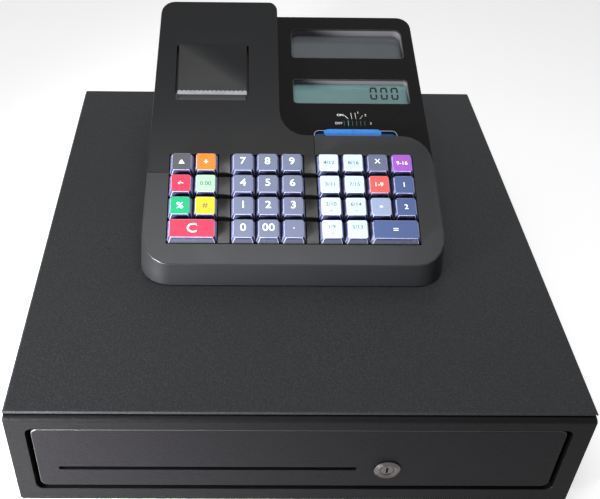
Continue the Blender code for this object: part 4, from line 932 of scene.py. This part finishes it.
class REGISTER_OT_digits(RegisterOperator):
    """Three dark zeros on the display"""
    bl_idname = "register.digits"
    bl_label = "Display digits"

    def bar(self, x, s, n, size, thickness, upright):
        """One bar of a digit: a thin six-sided disc drawn out to its length."""
        clear_selection()
        half = thickness / 2
        bpy.ops.mesh.primitive_cylinder_add(vertices=6, radius=half, depth=0.08 * MM,
                                            rotation=(0, 0, math.pi / 6))
        made = bpy.context.object
        bpy.ops.object.transform_apply()
        bpy.ops.object.mode_set(mode="EDIT")
        for side in (-1, 1):
            pick(made, "VERT", lambda vertex: vertex.co.x * side > half * 0.3)
            bpy.ops.transform.translate(value=(side * (size / 2 - half), 0, 0))
        bpy.ops.object.mode_set(mode="OBJECT")
        if upright:
            made.rotation_euler.z = math.pi / 2
            bpy.ops.object.transform_apply()
        made.data.transform(DISPLAY.matrix @ Matrix.Translation((x, s, n)))
        return made

    def make(self, sizes, colours, studio):
        ground = DISPLAY.span(NODES["lcd_panel"])[1].z + 0.02 * MM
        tall, wide, thick = sizes.digit_height, sizes.digit_width, sizes.segment_width
        side = wide / 2 - thick / 2
        bars = [(0, s, wide - thick * 0.7, False) for s in (tall - thick / 2, thick / 2)]
        bars += [(x, s, tall / 2 - 1.2 * thick, True)
                 for s in (tall * 0.75 - thick * 0.15, tall * 0.25 + thick * 0.15) for x in (-side, side)]
        digit = joined([self.bar(DIGITS_RIGHT - wide / 2 + x, DIGITS_FOOT + s, ground, size, thick, upright)
                        for x, s, size, upright in bars])
        digits = [digit]
        for place in (1, 2):
            digits.append(copy_at(digit, -DISPLAY.across * sizes.digit_pitch * place))
        made = settle(joined(digits), "display_digits", ink("display_segments", tint(6, 12, 14), 0.5))
        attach(made, "base")


class REGISTER_OT_mode_marks(RegisterOperator):
    """Positions of the mode switch, printed on the gloss panel, and a painted highlight round its slot"""
    bl_idname = "register.mode_marks"
    bl_label = "Mode marks"

    def stroke(self, start, end, width, thickness):
        """A printed line from one spot to another."""
        run = Vector(end) - Vector(start)
        made = plate(LEVEL, (-width * MM / 2, width * MM / 2), (0, run.length * MM), (0, thickness),
                     width * MM * 0.3)
        turn = math.atan2(-run.x, run.y)
        made.data.transform(DISPLAY.matrix @ Matrix.Translation((start[0] * MM, start[1] * MM, 0))
                            @ Matrix.Rotation(turn, 4, "Z"))
        return made

    def make(self, sizes, colours, studio):
        thickness = sizes.ink_thickness
        ticks = [self.stroke((x, TICK_ENDS[0]), (x, TICK_ENDS[1]), 0.3, thickness) for x in TICKS]
        fan = [self.stroke(start, end, 0.32, thickness) for start, end in FAN]
        words = [lettering(DISPLAY, body, height * MM, x * MM, s * MM, 0, thickness)
                 for body, height, x, s in WORDS]
        pieces = [settle(joined(fan + words), "mode_marks", ink("panel_ink", tint(214, 216, 220))),
                  settle(joined(ticks), "mode_ticks", ink("faint_ink", tint(92, 94, 98))),
                  settle(self.stroke(*FIRST_TICK, 0.5, thickness), "mode_start_tick",
                         ink("green_ink", tint(70, 170, 120)))]
        # The slot's edge is a flat ring painted pale: a painted highlight
        left, right, start, end = [edge * MM for edge in SLOT]
        width = sizes.slot_rim_width
        corner = (end - start) / 2 - 0.1 * MM + width
        rim = ring(DISPLAY, (left - width, right + width), (start - width, end + width),
                   (-0.1 * MM, 0.15 * MM), (corner, corner), width, 8)
        pieces.append(settle(rim, "rim_mode_slot", moulded("slot_edge", tint(178, 182, 196), 0.25, 900, 0.5)))
        for piece in pieces:
            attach(piece, "base")


class REGISTER_OT_mode_switch(RegisterOperator):
    """Blue mode switch with its pointer groove drawn as a ring of painted shade"""
    bl_idname = "register.mode_switch"
    bl_label = "Mode switch"

    def make(self, sizes, colours, studio):
        blue = switch_plastic("switch_plastic", colours.switch_blue)
        eased(dress("mode_slider", blue), 0.5 * MM, 3, 50.0)
        top = DISPLAY.span(NODES["mode_slider"])[1].z
        # The pointer's groove is a thin dark-blue ring: painted shade
        left, right, start, end = [edge * MM for edge in POINTER]
        pointer = ring(DISPLAY, (left, right), (start, end), (top - 0.1 * MM, top + 0.06 * MM),
                       (1.2 * MM, 1.2 * MM), 0.4 * MM)
        settle(pointer, "switch_pointer", ink("pointer_ink", tint(28, 78, 160)))
        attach(pointer, "mode_switch")


class REGISTER_OT_printer(RegisterOperator):
    """Printer block, platen, paper roll and tear blade"""
    bl_idname = "register.printer"
    bl_label = "Printer"

    def make(self, sizes, colours, studio):
        dress("printer_block", moulded("printer_plastic", tint(40, 41, 44), grain_scale=1700))
        dress("platen_roller", rubber("platen_rubber", tint(26, 26, 27), 0.6))
        dress("paper_roll", thermal_paper("thermal_paper", tint(236, 235, 230)))
        dress("tear_blade", brushed("blade_steel", tint(150, 152, 155), 0.2, (0.2, 1.0, 1.0)))


class REGISTER_OT_foot_pads(RegisterOperator):
    """Rubber ring round each pressed foot"""
    bl_idname = "register.foot_pads"
    bl_label = "Foot pads"

    def make(self, sizes, colours, studio):
        black = rubber("foot_rubber", tint(28, 28, 29))
        clear_selection()
        bpy.ops.mesh.primitive_circle_add(vertices=48, radius=sizes.pad_radius, location=FOOT)
        first = bpy.context.object
        bpy.ops.object.transform_apply()
        bpy.ops.object.mode_set(mode="EDIT")
        bpy.ops.mesh.select_all(action="SELECT")
        bpy.ops.mesh.extrude_edges_move()
        inner = sizes.foot_radius / sizes.pad_radius
        bpy.ops.transform.resize(value=(inner, inner, inner), center_override=FOOT)
        thicken((0, 0, sizes.pad_height))
        pick(first, "EDGE", lambda edge: len({round(v.co.z, 6) for v in edge.verts}) == 1 and any(
            abs(face.normal.z) < 0.1 for face in edge.link_faces))
        bpy.ops.mesh.bevel(offset=0.5 * MM, segments=3, affect="EDGES")
        bpy.ops.object.mode_set(mode="OBJECT")
        pads = [first] + [copy_at(first, Vector((FOOT.x * x, FOOT.y * y, 0)))
                          for x, y in ((-2, 0), (-2, -2), (0, -2))]
        for number, pad in enumerate(pads, 1):
            settle(pad, f"foot_pad_{number}", black)
            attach(pad, "base")


class REGISTER_OT_studio(RegisterOperator):
    """Pale floor, soft lights and the camera"""
    bl_idname = "register.studio"
    bl_label = "Studio"

    def lamp(self, name, power):
        """A soft rectangular lamp."""
        location, target, width, depth, spread = LAMPS[name]
        clear_selection()
        aim = (Vector(target) - Vector(location)).to_track_quat("-Z", "Y").to_euler()
        bpy.ops.object.light_add(type="AREA", location=location, rotation=aim)
        made = bpy.context.object
        made.name = name
        made.data.shape = "RECTANGLE"
        made.data.size = width
        made.data.size_y = depth
        made.data.energy = power
        made.data.spread = math.radians(spread)

    def make(self, sizes, colours, studio):
        clear_selection()
        bpy.ops.mesh.primitive_plane_add(size=studio.floor_size)
        floor = bpy.context.object
        floor.name = "floor"
        made = Finish("pale_floor", specular=0.0, emission_strength=studio.floor_lift)
        mottle = made.noise(3, 2)
        made.set("Base Color", made.mix(mottle, (0.95, 0.95, 0.95), (0.97, 0.97, 0.97)))
        made.set("Roughness", 0.85 + mottle * 0.1)
        made.set("Emission Color", made.mix(made.background_rays(), (0, 0, 0), (1, 1, 1)))
        floor.data.materials.append(made.material)

        world = bpy.data.worlds.new("studio_light")
        world.use_nodes = True
        bpy.context.scene.world = world
        net = Net(world.node_tree)
        background = world.node_tree.nodes["Background"]
        background.inputs["Color"].default_value = (1, 1, 1, 1)
        net.feed(background.inputs["Strength"],
                 studio.sky_level + net.background_rays() * (1 - studio.sky_level))

        self.lamp("overhead_lamp", studio.overhead_power)
        self.lamp("left_lamp", studio.side_power)

        clear_selection()
        turn = [math.radians(angle) for angle in CAMERA_TURN]
        bpy.ops.object.camera_add(location=CAMERA_PLACE, rotation=turn)
        camera = bpy.context.object
        camera.name = "photo_camera"
        camera.data.sensor_width = CAMERA_SENSOR
        camera.data.lens = studio.lens
        camera.data.shift_x, camera.data.shift_y = CAMERA_SHIFT
        camera.data.clip_start = 0.01
        camera.data.clip_end = 50.0
        bpy.context.scene.camera = camera
        bpy.context.scene.view_settings.view_transform = "Standard"


class TicketRegisterSettings(bpy.types.PropertyGroup):
    """All settings of the register's looks."""
    sizes: bpy.props.PointerProperty(type=RegisterSizes, name="Sizes", description="Sizes of the dressing")
    colours: bpy.props.PointerProperty(type=RegisterColours, name="Colours", description="Finish colours")
    studio: bpy.props.PointerProperty(type=RegisterStudio, name="Studio", description="Floor, light, camera")


OPERATORS = (REGISTER_OT_cabinet, REGISTER_OT_drawer, REGISTER_OT_lock, REGISTER_OT_case,
             REGISTER_OT_key_caps, REGISTER_OT_key_labels, REGISTER_OT_key_legends, REGISTER_OT_display,
             REGISTER_OT_digits, REGISTER_OT_mode_marks, REGISTER_OT_mode_switch, REGISTER_OT_printer,
             REGISTER_OT_foot_pads, REGISTER_OT_studio)


class REGISTER_PT_panel(bpy.types.Panel):
    """Settings and steps of the ticket register's looks"""
    bl_idname = "REGISTER_PT_panel"
    bl_label = "Ticket register"
    bl_space_type = "VIEW_3D"
    bl_region_type = "UI"
    bl_category = "Ticket register"

    def draw(self, context):
        settings = context.scene.ticket_register
        for group in (settings.sizes, settings.colours, settings.studio):
            column = self.layout.box().column()
            for name in type(group).__annotations__:
                column.prop(group, name)
        for operator in OPERATORS:
            self.layout.operator(operator.bl_idname)


CLASSES = (RegisterSizes, RegisterColours, RegisterStudio, TicketRegisterSettings, *OPERATORS,
           REGISTER_PT_panel)


def register():
    for item in CLASSES:
        bpy.utils.register_class(item)
    bpy.types.Scene.ticket_register = bpy.props.PointerProperty(type=TicketRegisterSettings)


def unregister():
    del bpy.types.Scene.ticket_register
    for item in reversed(CLASSES):
        bpy.utils.unregister_class(item)


def main():
    register()
    for operator in OPERATORS:
        group, step = operator.bl_idname.split(".")
        getattr(getattr(bpy.ops, group), step)()
    clear_selection()


if __name__ == "__main__":
    main()
